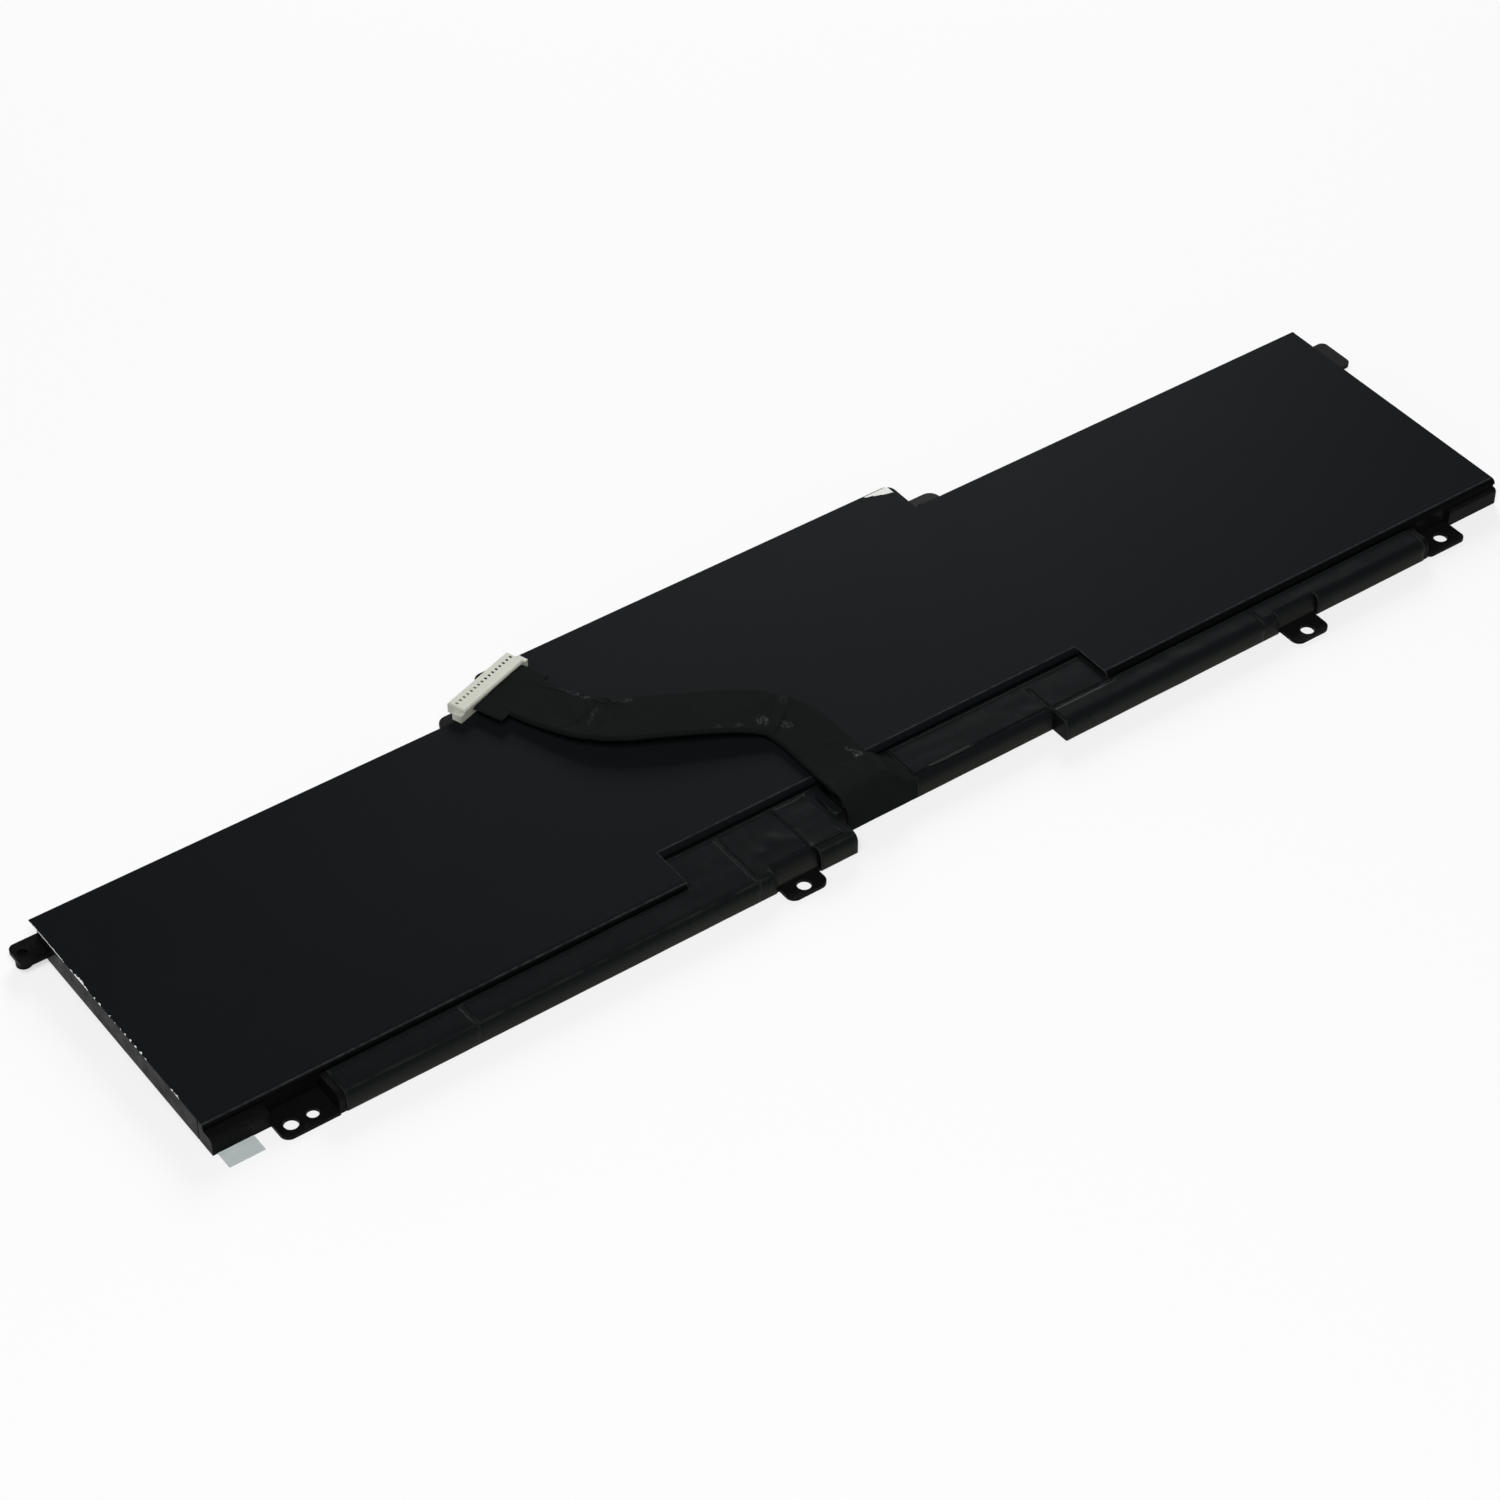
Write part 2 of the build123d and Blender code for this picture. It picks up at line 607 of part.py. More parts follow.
with BuildPart() as tape_right_inner:
    rail_tape(right_rail[0], half_bay + rib, front_y - ledge - tape_joint, right_rail_y)
    rail_tape(half_bay + rib, right_joint_x - tape_joint, outer_tape_back, right_rail_y)
keep(tape_right_inner, "tape_right_inner")

with BuildPart() as tape_right_end:
    x, rail_front, top, foot = notches[1]
    rail_tape(right_joint_x, x - notch_width / 2, outer_tape_back, rail_front)
    notch_tape(x, outer_tape_back, top, foot)
    rail_tape(x + notch_width / 2, right_rail[1] - rail_bare, outer_tape_back, rail_front)
    flat_tape(right_joint_x, right_rail[1] - rail_bare, front_y - top, outer_tape_back)
keep(tape_right_end, "tape_right_end")

# Flat cable: its outline from above, cut to its profile from the side
plan_points = [(x, y) for x, y, z in cable_route]
side_points = [(y, z) for x, y, z in cable_route]
side_points[0] = (side_points[0][0] - cable_width, side_points[0][1])
side_points[-1] = (side_points[-1][0] + cable_width, side_points[-1][1])
plan_radii = corner_radii(plan_points)
side_radii = corner_radii(side_points)
print("cable radii from above", [round(r, 1) for r in plan_radii])
print("cable radii from the side", [round(r, 1) for r in side_radii])

with BuildPart() as cable:
    with BuildSketch() as cable_plan:
        with BuildLine() as plan_line:
            FilletPolyline(*plan_points, radius=plan_radii)
        trace(plan_line.line, line_width=cable_width)
    extrude(amount=4 * film_top)
    with BuildSketch(Plane.YZ) as cable_side:
        with BuildLine() as side_line:
            FilletPolyline(*side_points, radius=side_radii)
        trace(side_line.line, line_width=cable_thick)
    extrude(amount=pack_length, both=True, mode=Mode.INTERSECT)
keep(cable, "cable")
print("cable length", round(plan_line.wire().length, 2), "volume", round(cable.part.volume, 1))

# Lead wires: from the board, round in a bend and into the cable's end
with BuildPart() as lead_wires:
    low, high = board_top + wire_radius, cable_exit[2]
    for i in range(wire_count):
        x = cable_exit[0] + (i - (wire_count - 1) / 2) * wire_pitch
        with BuildLine(Plane.YZ.offset(x)) as wire_run:
            Line((cable_exit[1] + wire_foot, low), (cable_exit[1], low))
            CenterArc((cable_exit[1], (low + high) / 2), (high - low) / 2, 270, -180)
        with BuildSketch(Plane(wire_run.line @ 0, x_dir=(1, 0, 0), z_dir=wire_run.line % 0)):
            RegularPolygon(wire_radius, wire_sides)
        sweep()
keep(lead_wires, "lead_wires")

# Tape hump over the wires, from the rail's foot to the cable's top
with BuildPart() as cable_exit_tape:
    with BuildSketch(Plane.YZ.offset(exit_left)) as hump:
        face = recess_y - tape_rise
        top = cable_exit[2] + cable_thick / 2 + tape_rise
        with BuildLine() as hump_line:
            FilletPolyline(
                (face, tape_foot),
                (face, exit_shoulder),
                (face + top - exit_shoulder, top),
                (cable_exit[1] + exit_tape_length, top),
                radius=rail_round,
            )
        trace(hump_line.line, line_width=film)
    extrude(amount=exit_tape_width)
keep(cable_exit_tape, "cable_exit_tape")

# Connector, square to the cable's last run
last_run = Vector(*cable_route[-1][:2]) - Vector(*cable_route[-2][:2])
across = (last_run.Y, -last_run.X, 0)
connector_base = film_top + connector_lift
cable_plane = Plane((cable_end[0], cable_end[1], connector_base), x_dir=across, z_dir=(0, 0, 1))
connector_plane = cable_plane.shift_origin(cable_plane.from_local_coords((connector_shift, 0, 0)))
slot_size = tuple(size + 2 * slot_gap for size in contact_size)
contact_places = [(i - (contact_count - 1) / 2) * contact_pitch for i in range(contact_count)]
slot_y = connector_depth - slot_size[1] / 2

with BuildPart(connector_plane) as housing:
    with Locations((0, connector_depth / 2, 0)):
        Box(
            connector_width,
            connector_depth,
            connector_height,
            align=(Align.CENTER, Align.CENTER, Align.MIN),
        )
    chamfer(housing.faces().sort_by(Axis.Z)[-1].edges(), length=0.3)
    for side in (-1, 1):
        with Locations((side * (connector_width + ear_size[0]) / 2, ear_place, 0)):
            Box(*ear_size, align=(Align.CENTER, Align.CENTER, Align.MIN))
    with Locations(*[(x, slot_y, contact_rise) for x in contact_places]):
        Box(*slot_size, align=(Align.CENTER, Align.CENTER, Align.MIN), mode=Mode.SUBTRACT)
    with Locations(*[(x, window_place, contact_rise) for x in contact_places]):
        Box(
            *window_size,
            connector_height - contact_rise,
            align=(Align.CENTER, Align.CENTER, Align.MIN),
            mode=Mode.SUBTRACT,
        )
keep(housing, "connector_housing")

with BuildPart(connector_plane) as contacts:
    contact_y = connector_depth - slot_size[1] + contact_size[1] / 2
    with Locations(*[(x, contact_y, contact_rise) for x in contact_places]):
        Box(*contact_size, align=(Align.CENTER, Align.CENTER, Align.MIN))
keep(contacts, "connector_contacts")

# Wider wrap of tape round the cable behind the connector
with BuildPart() as cable_end_tape:
    wrap_height = cable_thick + 2 * end_tape_skin
    with BuildSketch(cable_plane.offset(cable_end[2] - connector_base - wrap_height / 2)):
        with Locations((end_tape_shift, -end_tape_length / 2)):
            Rectangle(end_tape_width, end_tape_length)
    extrude(amount=wrap_height)
    add(cable.part, mode=Mode.SUBTRACT)
keep(cable_end_tape, "cable_end_tape")

# Pale tail of tape that sticks out under the front left corner
with BuildPart() as tape_tail:
    with BuildSketch():
        span(tail_start, tail_start + tail_width, front_y - tail_reach, front_y + bay_wall)
    extrude(amount=tail_thick)
keep(tape_tail, "tape_tail")
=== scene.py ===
"""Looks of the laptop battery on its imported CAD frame, in metres."""
import math

import bmesh
import bpy
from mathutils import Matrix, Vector, noise


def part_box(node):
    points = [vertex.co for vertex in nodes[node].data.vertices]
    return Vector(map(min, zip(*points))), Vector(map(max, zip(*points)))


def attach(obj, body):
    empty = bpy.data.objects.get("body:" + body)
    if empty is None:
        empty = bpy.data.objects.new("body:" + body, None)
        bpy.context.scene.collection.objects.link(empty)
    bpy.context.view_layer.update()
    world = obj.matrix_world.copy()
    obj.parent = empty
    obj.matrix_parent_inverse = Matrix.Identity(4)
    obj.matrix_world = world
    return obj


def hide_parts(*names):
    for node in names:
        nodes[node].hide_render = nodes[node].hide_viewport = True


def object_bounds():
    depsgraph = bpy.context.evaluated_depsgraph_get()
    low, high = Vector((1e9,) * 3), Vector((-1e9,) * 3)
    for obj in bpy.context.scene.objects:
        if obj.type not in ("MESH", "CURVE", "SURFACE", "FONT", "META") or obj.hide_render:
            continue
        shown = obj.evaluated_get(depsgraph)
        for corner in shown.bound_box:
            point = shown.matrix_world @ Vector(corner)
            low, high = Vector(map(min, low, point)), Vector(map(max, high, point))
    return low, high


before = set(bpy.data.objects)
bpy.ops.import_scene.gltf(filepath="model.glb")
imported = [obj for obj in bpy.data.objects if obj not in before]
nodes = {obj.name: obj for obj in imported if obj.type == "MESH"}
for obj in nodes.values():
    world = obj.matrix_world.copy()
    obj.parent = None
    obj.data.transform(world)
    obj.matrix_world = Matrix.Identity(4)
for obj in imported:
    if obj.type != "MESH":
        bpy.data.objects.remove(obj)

cad_low, cad_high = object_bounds()
MM = 0.001

# Camera, as measured from the photograph
CAMERA_PLACE = (-0.38906, -0.51744, 0.57800)
CAMERA_TILT = 47.695
CAMERA_TURN = -35.857
CAMERA_LENS = 99.14
CAMERA_SENSOR = 36.0

camera_data = bpy.data.cameras.new("camera")
camera_data.sensor_width = CAMERA_SENSOR
camera_data.lens = CAMERA_LENS
camera = bpy.data.objects.new("camera", camera_data)
camera.location = CAMERA_PLACE
camera.rotation_euler = (math.radians(CAMERA_TILT), 0.0, math.radians(CAMERA_TURN))
bpy.context.collection.objects.link(camera)
bpy.context.scene.camera = camera
bpy.context.scene.view_settings.view_transform = "Standard"

# Flat cable's route, from the exit to the connector
CABLE_ROUTE = [
    (-0.0090, -0.029425, 0.00685),
    (-0.0090, -0.018925, 0.00685),
    (-0.0093, -0.006325, 0.00720),
    (-0.0147, -0.000325, 0.00820),
    (-0.0286, 0.006975, 0.00910),
    (-0.0422, 0.014075, 0.00890),
    (-0.0478, 0.024575, 0.00760),
    (-0.0526, 0.037475, 0.00740),
]
CABLE_WIDTH = 0.0130
CABLE_THICK = 0.0013
CABLE_STEPS = 24
CABLE_ACROSS = 36
SPLINE_ORDER = 3
EDGE_TURNS = 6
END_TAPE_WIDTH = 0.0170
END_TAPE_THICK = 0.0018
END_TAPE_LENGTH = 0.0080
END_TAPE_SHIFT = -0.0007
END_TAPE_ACROSS = 40
# Where the cable's sides lie from its middle, for the tape to leave them as flaps
END_TAPE_FLAP = (0.0060, 0.0069)
# Tape's distance from the cable at its start and further on, and the run between
END_TAPE_CLOSE = (-0.00008, 0.00003, 0.0055)
FLAP_TOP = 0.00060
FLAP_UNDER = 0.00025
FLAP_SLACK = 0.00006
HEADING_POINTS = 6


def smooth_line(name, points, steps):
    """Points along a smooth spline that takes the given points as its controls."""
    data = bpy.data.curves.new(name, "CURVE")
    data.dimensions = "3D"
    data.resolution_u = steps
    spline = data.splines.new("NURBS")
    spline.points.add(len(points) - 1)
    for control, point in zip(spline.points, points):
        control.co = (*point, 1.0)
    spline.order_u = SPLINE_ORDER
    spline.use_endpoint_u = True
    holder = bpy.data.objects.new(name, data)
    mesh = bpy.data.meshes.new_from_object(holder)
    line = [vertex.co.copy() for vertex in mesh.vertices]
    bpy.data.objects.remove(holder)
    bpy.data.curves.remove(data)
    bpy.data.meshes.remove(mesh)
    return line


def distances(line):
    """Distance of each point of a line from its start."""
    total = [0.0]
    for a, b in zip(line, line[1:]):
        total.append(total[-1] + (b - a).length)
    return total


def ease(value, low, high):
    """0 below low, 1 above high and a soft rise between."""
    k = min(1.0, max(0.0, (value - low) / (high - low)))
    return k * k * (3.0 - 2.0 * k)


def steps(first, last, size):
    """Evenly spaced values from first to last, about size apart."""
    count = max(1, math.ceil(abs(last - first) / size))
    return [first + (last - first) * i / count for i in range(count + 1)]


def piece(name, mesh):
    """A new piece that rides on the pack."""
    made = bpy.data.objects.new(name, mesh)
    bpy.context.collection.objects.link(made)
    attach(made, "root")
    return made


def flat_section(half_width, half_thick, across):
    """Closed outline of a flat strip with round edges, as (across, up) pairs."""
    flat = half_width - half_thick
    steps = [2.0 * i / across - 1.0 for i in range(across + 1)]
    turns = [math.pi * i / EDGE_TURNS for i in range(1, EDGE_TURNS)]
    outline = [(flat * k, half_thick) for k in steps]
    outline += [(flat + half_thick * math.sin(a), half_thick * math.cos(a)) for a in turns]
    outline += [(-flat * k, -half_thick) for k in steps]
    outline += [(-flat - half_thick * math.sin(a), -half_thick * math.cos(a)) for a in turns]
    return outline


def strip(name, line, section, relief):
    """A strip along a line.

    relief(along, across, level) adds height, with level from 1 on top to -1 below.
    """
    mesh = bpy.data.meshes.new(name)
    bm = bmesh.new()
    uv = bm.loops.layers.uv.new("strip")
    along = distances(line)
    around = distances([Vector((a, b, 0.0)) for a, b in section])
    half = max(height for across, height in section)
    rings = []
    for i, point in enumerate(line):
        ahead = line[min(i + 1, len(line) - 1)] - line[max(i - 1, 0)]
        ahead.normalize()
        side = Vector((ahead.y, -ahead.x, 0.0)).normalized()
        up = side.cross(ahead)
        ring = []
        for across, height in section:
            rise = relief(along[i], across, height / half)
            spot = point + side * across + up * (height + rise)
            spot.z = min(spot.z, cad_high.z)
            ring.append(bm.verts.new(spot))
        rings.append(ring)
    count = len(section)
    for i, (first, second) in enumerate(zip(rings, rings[1:])):
        for j in range(count):
            k = (j + 1) % count
            face = bm.faces.new((first[j], first[k], second[k], second[j]))
            face.smooth = True
            marks = ((i, j), (i, j + 1), (i + 1, j + 1), (i + 1, j))
            for loop, (row, column) in zip(face.loops, marks):
                loop[uv].uv = (along[row], around[min(column, count - 1)])
    for cap in (bm.faces.new(reversed(rings[0])), bm.faces.new(rings[-1])):
        for border in cap.edges:
            border.smooth = False
    bmesh.ops.recalc_face_normals(bm, faces=bm.faces)
    bm.to_mesh(mesh)
    bm.free()
    return piece(name, mesh)


def ridge(s, v, place, turn, reach, width, height):
    """Height of one crease at (s, v), in mm: a soft ridge through place, turned by degrees."""
    a = math.radians(turn)
    ds, dv = s - place[0], v - place[1]
    p = ds * math.cos(a) + dv * math.sin(a)
    q = dv * math.cos(a) - ds * math.sin(a)
    return height * math.exp(-((q / width) ** 2) - (p / reach) ** 4)


# Creases of the cloth tape: place along and across, turn, reach, width and height, in mm
CABLE_CREASES = [
    ((24.6, 1.0), 77, 7.5, 0.50, 0.30),
    ((23.2, -2.0), 70, 5.5, 1.1, -0.22),
    ((26.6, 3.0), 84, 5.0, 1.0, -0.20),
    ((28.5, -4.0), 64, 2.6, 0.45, 0.20),
    ((62.6, -2.0), 92, 6.5, 0.5, 0.34),
    ((64.8, 1.0), 104, 6.0, 0.7, -0.28),
    ((60.4, 2.5), 82, 4.5, 0.6, -0.24),
    ((66.2, 3.0), 58, 4.6, 0.35, 0.34),
    ((58.6, 4.4), 22, 5.0, 0.35, 0.30),
    ((67.5, -3.0), 118, 3.6, 0.40, 0.20),
    ((64.0, 4.8), 12, 3.0, 0.30, 0.26),
    ((46.0, -5.0), 86, 1.4, 0.4, 0.12),
    ((54.5, -4.8), 80, 1.6, 0.40, 0.16),
    ((72.5, 5.2), 172, 6.5, 0.30, 0.26),
    ((69.0, 0.5), 40, 4.0, 0.50, 0.14),
    ((12.0, 3.0), 100, 3.0, 0.8, 0.10),
    ((16.0, -3.0), 80, 3.5, 0.9, 0.10),
]
# Wires under the tape, its slack and where both fade, in mm
CABLE_HALF = 6.5
WIRE_PITCH = 1.55
WIRE_HEIGHT = 0.008
SLACK_HEIGHT = 0.12
CREASE_FADE = 4.0
CREASE_BELOW = 0.55


def cable_relief(along, across, level):
    """Height that wires and creases add to the cable's face."""
    s, v = along / MM, across / MM
    edge = max(0.0, 1.0 - (abs(v) / CABLE_HALF) ** 6)
    wires = WIRE_HEIGHT * level * math.cos(v * 2.0 * math.pi / WIRE_PITCH) * edge
    creases = sum(ridge(s, v, *crease) for crease in CABLE_CREASES)
    soft = SLACK_HEIGHT * noise.noise(Vector((s * 0.16, v * 0.22, 3.1))) * (0.4 + 0.6 * edge)
    fade = min(1.0, s / CREASE_FADE)
    share = 1.0 if level > 0 else CREASE_BELOW
    return (wires + (creases * share + soft) * fade) * MM


cable_line = smooth_line("cable_line", CABLE_ROUTE, CABLE_STEPS)
cable_section = flat_section(CABLE_WIDTH / 2, CABLE_THICK / 2, CABLE_ACROSS)
cable = strip("cable_strip", cable_line, cable_section, cable_relief)
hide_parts("cable")


cable_run = distances(cable_line)
tape_start = cable_run[-1] - END_TAPE_LENGTH
end_heading = (cable_line[-1] - cable_line[-HEADING_POINTS]).normalized()
end_side = Vector((end_heading.y, -end_heading.x, 0.0)).normalized()


def end_tape_relief(along, across, level):
    """The end tape lies close on the cable, follows its creases and thins out into flaps beside it."""
    v = across + END_TAPE_SHIFT
    beside = ease(abs(v), *END_TAPE_FLAP)
    near, far, run = END_TAPE_CLOSE
    cover = CABLE_THICK / 2 + near + (far - near) * min(1.0, along / run)
    over = cover * (1.0 - beside) + FLAP_TOP * beside
    under = -cover * (1.0 - beside) + FLAP_UNDER * beside
    creases = cable_relief(tape_start + along, v, level) * (1.0 - beside)
    slack = FLAP_SLACK * noise.noise(Vector((along / MM * 0.5 + 7.0, v / MM * 0.4, 1.7))) * beside
    return (over + under) / 2 + level * (over - under - END_TAPE_THICK) / 2 + creases + slack


tape_points = [
    point + end_side * END_TAPE_SHIFT for point, gone in zip(cable_line, cable_run) if gone > tape_start
]
end_tape = strip(
    "cable_end_wrap",
    tape_points,
    flat_section(END_TAPE_WIDTH / 2, END_TAPE_THICK / 2, END_TAPE_ACROSS),
    end_tape_relief,
)
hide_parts("cable_end_tape")


class Shade:
    """A procedural material: one principled shader and the nodes that feed it."""

    def __init__(self, name, roughness, specular=0.5, metallic=0.0):
        self.material = bpy.data.materials.new(name)
        self.material.use_nodes = True
        self.tree = self.material.node_tree
        self.shader = self.tree.nodes["Principled BSDF"]
        self.shader.inputs["Roughness"].default_value = roughness
        self.shader.inputs["Specular IOR Level"].default_value = specular
        self.shader.inputs["Metallic"].default_value = metallic
        self.place = self.tree.nodes.new("ShaderNodeTexCoord").outputs["Object"]
        self.normal = None

    def feed(self, socket, value):
        """Sets a socket, by link or by value."""
        if isinstance(value, bpy.types.NodeSocket):
            self.tree.links.new(value, socket)
        elif isinstance(value, tuple) and len(value) == 3 and socket.type == "RGBA":
            socket.default_value = (*value, 1.0)
        else:
            socket.default_value = value

    def node(self, kind, inputs, **settings):
        """A new node with its settings and inputs."""
        made = self.tree.nodes.new(kind)
        for key, value in settings.items():
            setattr(made, key, value)
        for key, value in inputs.items():
            self.feed(made.inputs[key], value)
        return made

    def math(self, operation, a, b=0.0, c=0.0):
        """The result of one calculation."""
        return self.node("ShaderNodeMath", {0: a, 1: b, 2: c}, operation=operation).outputs[0]

    def times(self, first, *others):
        """The product of values."""
        for other in others:
            first = self.math("MULTIPLY", first, other)
        return first

    def less(self, value, limit):
        """1 where a value is below a limit."""
        return self.math("LESS_THAN", value, limit)

    def more(self, value, limit):
        """1 where a value is above a limit."""
        return self.math("GREATER_THAN", value, limit)

    def away(self, value, middle):
        """Distance of a value from a middle."""
        return self.math("ABSOLUTE", self.math("SUBTRACT", value, middle))

    def noise(self, scale, detail=3.0, stretch=(1.0, 1.0, 1.0)):
        """Noise with about scale features in a metre."""
        held = self.node("ShaderNodeMapping", {"Vector": self.place, "Scale": stretch}).outputs[0]
        made = self.node("ShaderNodeTexNoise", {"Vector": held, "Scale": scale, "Detail": detail})
        return made.outputs["Fac"]

    def surface(self):
        """The surface's own direction as three values."""
        return self.axes(self.tree.nodes.new("ShaderNodeNewGeometry").outputs["Normal"])

    def span(self, value, low, high, first=0.0, last=1.0):
        """Value from low to high mapped to first and last, and held there beyond them."""
        made = self.node(
            "ShaderNodeMapRange",
            {"Value": value, "From Min": low, "From Max": high, "To Min": first, "To Max": last},
        )
        return made.outputs[0]

    def blend(self, factor, first, second):
        """Two colours mixed by a factor."""
        made = self.tree.nodes.new("ShaderNodeMix")
        made.data_type = "RGBA"
        self.feed(made.inputs[0], factor)
        self.feed(made.inputs[6], first)
        self.feed(made.inputs[7], second)
        return made.outputs[2]

    def colour(self, value):
        """Sets the base colour."""
        self.feed(self.shader.inputs["Base Color"], value)

    def roughness(self, value):
        """Sets the roughness."""
        self.feed(self.shader.inputs["Roughness"], value)

    def bump(self, height, distance, strength=1.0):
        """Adds a bump of the given depth in metres to those before it."""
        inputs = {"Height": height, "Distance": distance, "Strength": strength}
        if self.normal is not None:
            inputs["Normal"] = self.normal
        self.normal = self.node("ShaderNodeBump", inputs).outputs[0]
        self.feed(self.shader.inputs["Normal"], self.normal)

    def axes(self, place=None):
        """The coordinates as three values."""
        return self.node("ShaderNodeSeparateXYZ", {0: place or self.place}).outputs

    def uv(self):
        """The piece's own strip coordinates, in metres."""
        return self.node("ShaderNodeUVMap", {}, uv_map="strip").outputs[0]

    def between(self, value, low, high, soft):
        """1 where a value lies from low to high, with soft ends."""
        rise = self.span(value, low - soft, low + soft)
        fall = self.span(value, high - soft, high + soft, 1.0, 0.0)
        return self.times(rise, fall)


def moulded_plastic():
    """Black injection-moulded frame: fine spark texture, faint flow marks and dust."""
    shade = Shade("moulded_black", 0.34, 0.026)
    flow = shade.noise(90.0, 2.0, (1.0, 2.5, 1.0))
    grain = shade.noise(3800.0, 2.0)
    dust = shade.span(shade.noise(900.0, 4.0), 0.66, 0.76)
    tone = shade.blend(flow, (0.0036, 0.0037, 0.0038), (0.0058, 0.0059, 0.0058))
    shade.colour(shade.blend(shade.times(dust, 0.30), tone, (0.040, 0.040, 0.038)))
    shade.roughness(shade.span(shade.noise(420.0, 3.0), 0.3, 0.7, 0.27, 0.42))
    shade.bump(grain, 0.00002, 0.5)
    shade.bump(shade.noise(140.0, 2.0), 0.00012, 0.35)
    return shade.material


film_low, film_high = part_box("top_film")
FOLD_DEPTH = 0.0011
STAGGER = 0.0097
STEP_EDGE = 0.05385
EDGE_LINE = 0.00022
# The left bay's fold begins sooner and a little further forward
LEFT_LEAN = 0.42
LEFT_FOLD = 0.0006
FOLD_LEAN = (-0.25, -0.45)
MIDDLE_FOLD = 0.25
# Worn corner of the middle bay: its start and end, slant, waviness, soft ends and the black edge behind it
WORN_START = (0.0480, 0.0443)
WORN_END = 0.0543
WORN_SLOPE = 0.40
WORN_WAVE = 0.00025
WORN_SOFT = 0.00005
WORN_RIM = 0.0002
# Worn left edge of the film: reach of each kind of mark, and from where to where it runs with soft ends
LINE_REACH = (0.00001, 0.00008)
LINE_ZONE = (0.0215, 0.0330, 0.0010)
CHIP_REACH = 0.00036
CHIP_ZONE = (0.0115, 0.0176, 0.0006)
BEAD_REACH = 0.00036
BEAD_PITCH = 0.0020
BEAD_ZONE = (-0.0110, 0.0090, 0.0008)
LAST_ZONE = (-0.0238, -0.0212, 0.0003)
FILM_TONES = (0.0057, 0.0069, 0.0078), (0.0067, 0.0080, 0.0089)
FILM_SPECK = (0.035, 0.038, 0.036)
FILM_RIM = (0.036, 0.038, 0.038)
# Painted shade of the fold
FILM_FOLD_SHADE = (0.0030, 0.0032, 0.0034)
FILM_CORE = (0.78, 0.79, 0.77)
# Painted highlight of the film's edges and the tapes' cut edges
EDGE_HIGHLIGHT = (0.030, 0.032, 0.032)


def worn_edge(shade, x, y):
    """1 where the white core shows along the film's left edge, by how far each mark reaches in."""
    ragged = shade.noise(820.0, 3.0)
    chips = shade.times(shade.span(ragged, 0.36, 0.58, 0.0, CHIP_REACH), shade.between(y, *CHIP_ZONE))
    wave = shade.math("SINE", shade.times(y, 2.0 * math.pi / BEAD_PITCH))
    wave = shade.math("ADD", wave, shade.span(ragged, 0.3, 0.7, -1.0, 0.5))
    beads = shade.times(shade.span(wave, 0.35, 1.0, 0.0, BEAD_REACH), shade.between(y, *BEAD_ZONE))
    last = shade.span(ragged, 0.42, 0.6, 0.0, BEAD_REACH * 0.5)
    last = shade.times(last, shade.between(y, *LAST_ZONE))
    line = shade.times(shade.span(ragged, 0.3, 0.7, *LINE_REACH), shade.between(y, *LINE_ZONE))
    reach = shade.math("MAXIMUM", shade.math("MAXIMUM", chips, beads), shade.math("MAXIMUM", last, line))
    return shade.less(shade.math("SUBTRACT", x, film_low.x), reach)


def worn_corner(shade, x, y):
    """1 where the print has come off the middle bay's corner, up to a thin black edge."""
    wavy = shade.span(shade.noise(900.0, 3.0), 0.3, 0.7, -WORN_WAVE, WORN_WAVE)
    slant = shade.math("ADD", shade.times(x, WORN_SLOPE), shade.math("ADD", y, wavy))
    return shade.times(
        shade.more(slant, WORN_SLOPE * WORN_START[0] + WORN_START[1]),
        shade.between(x, WORN_START[0], WORN_END, WORN_SOFT),
        shade.less(y, film_high.y - WORN_RIM),
    )


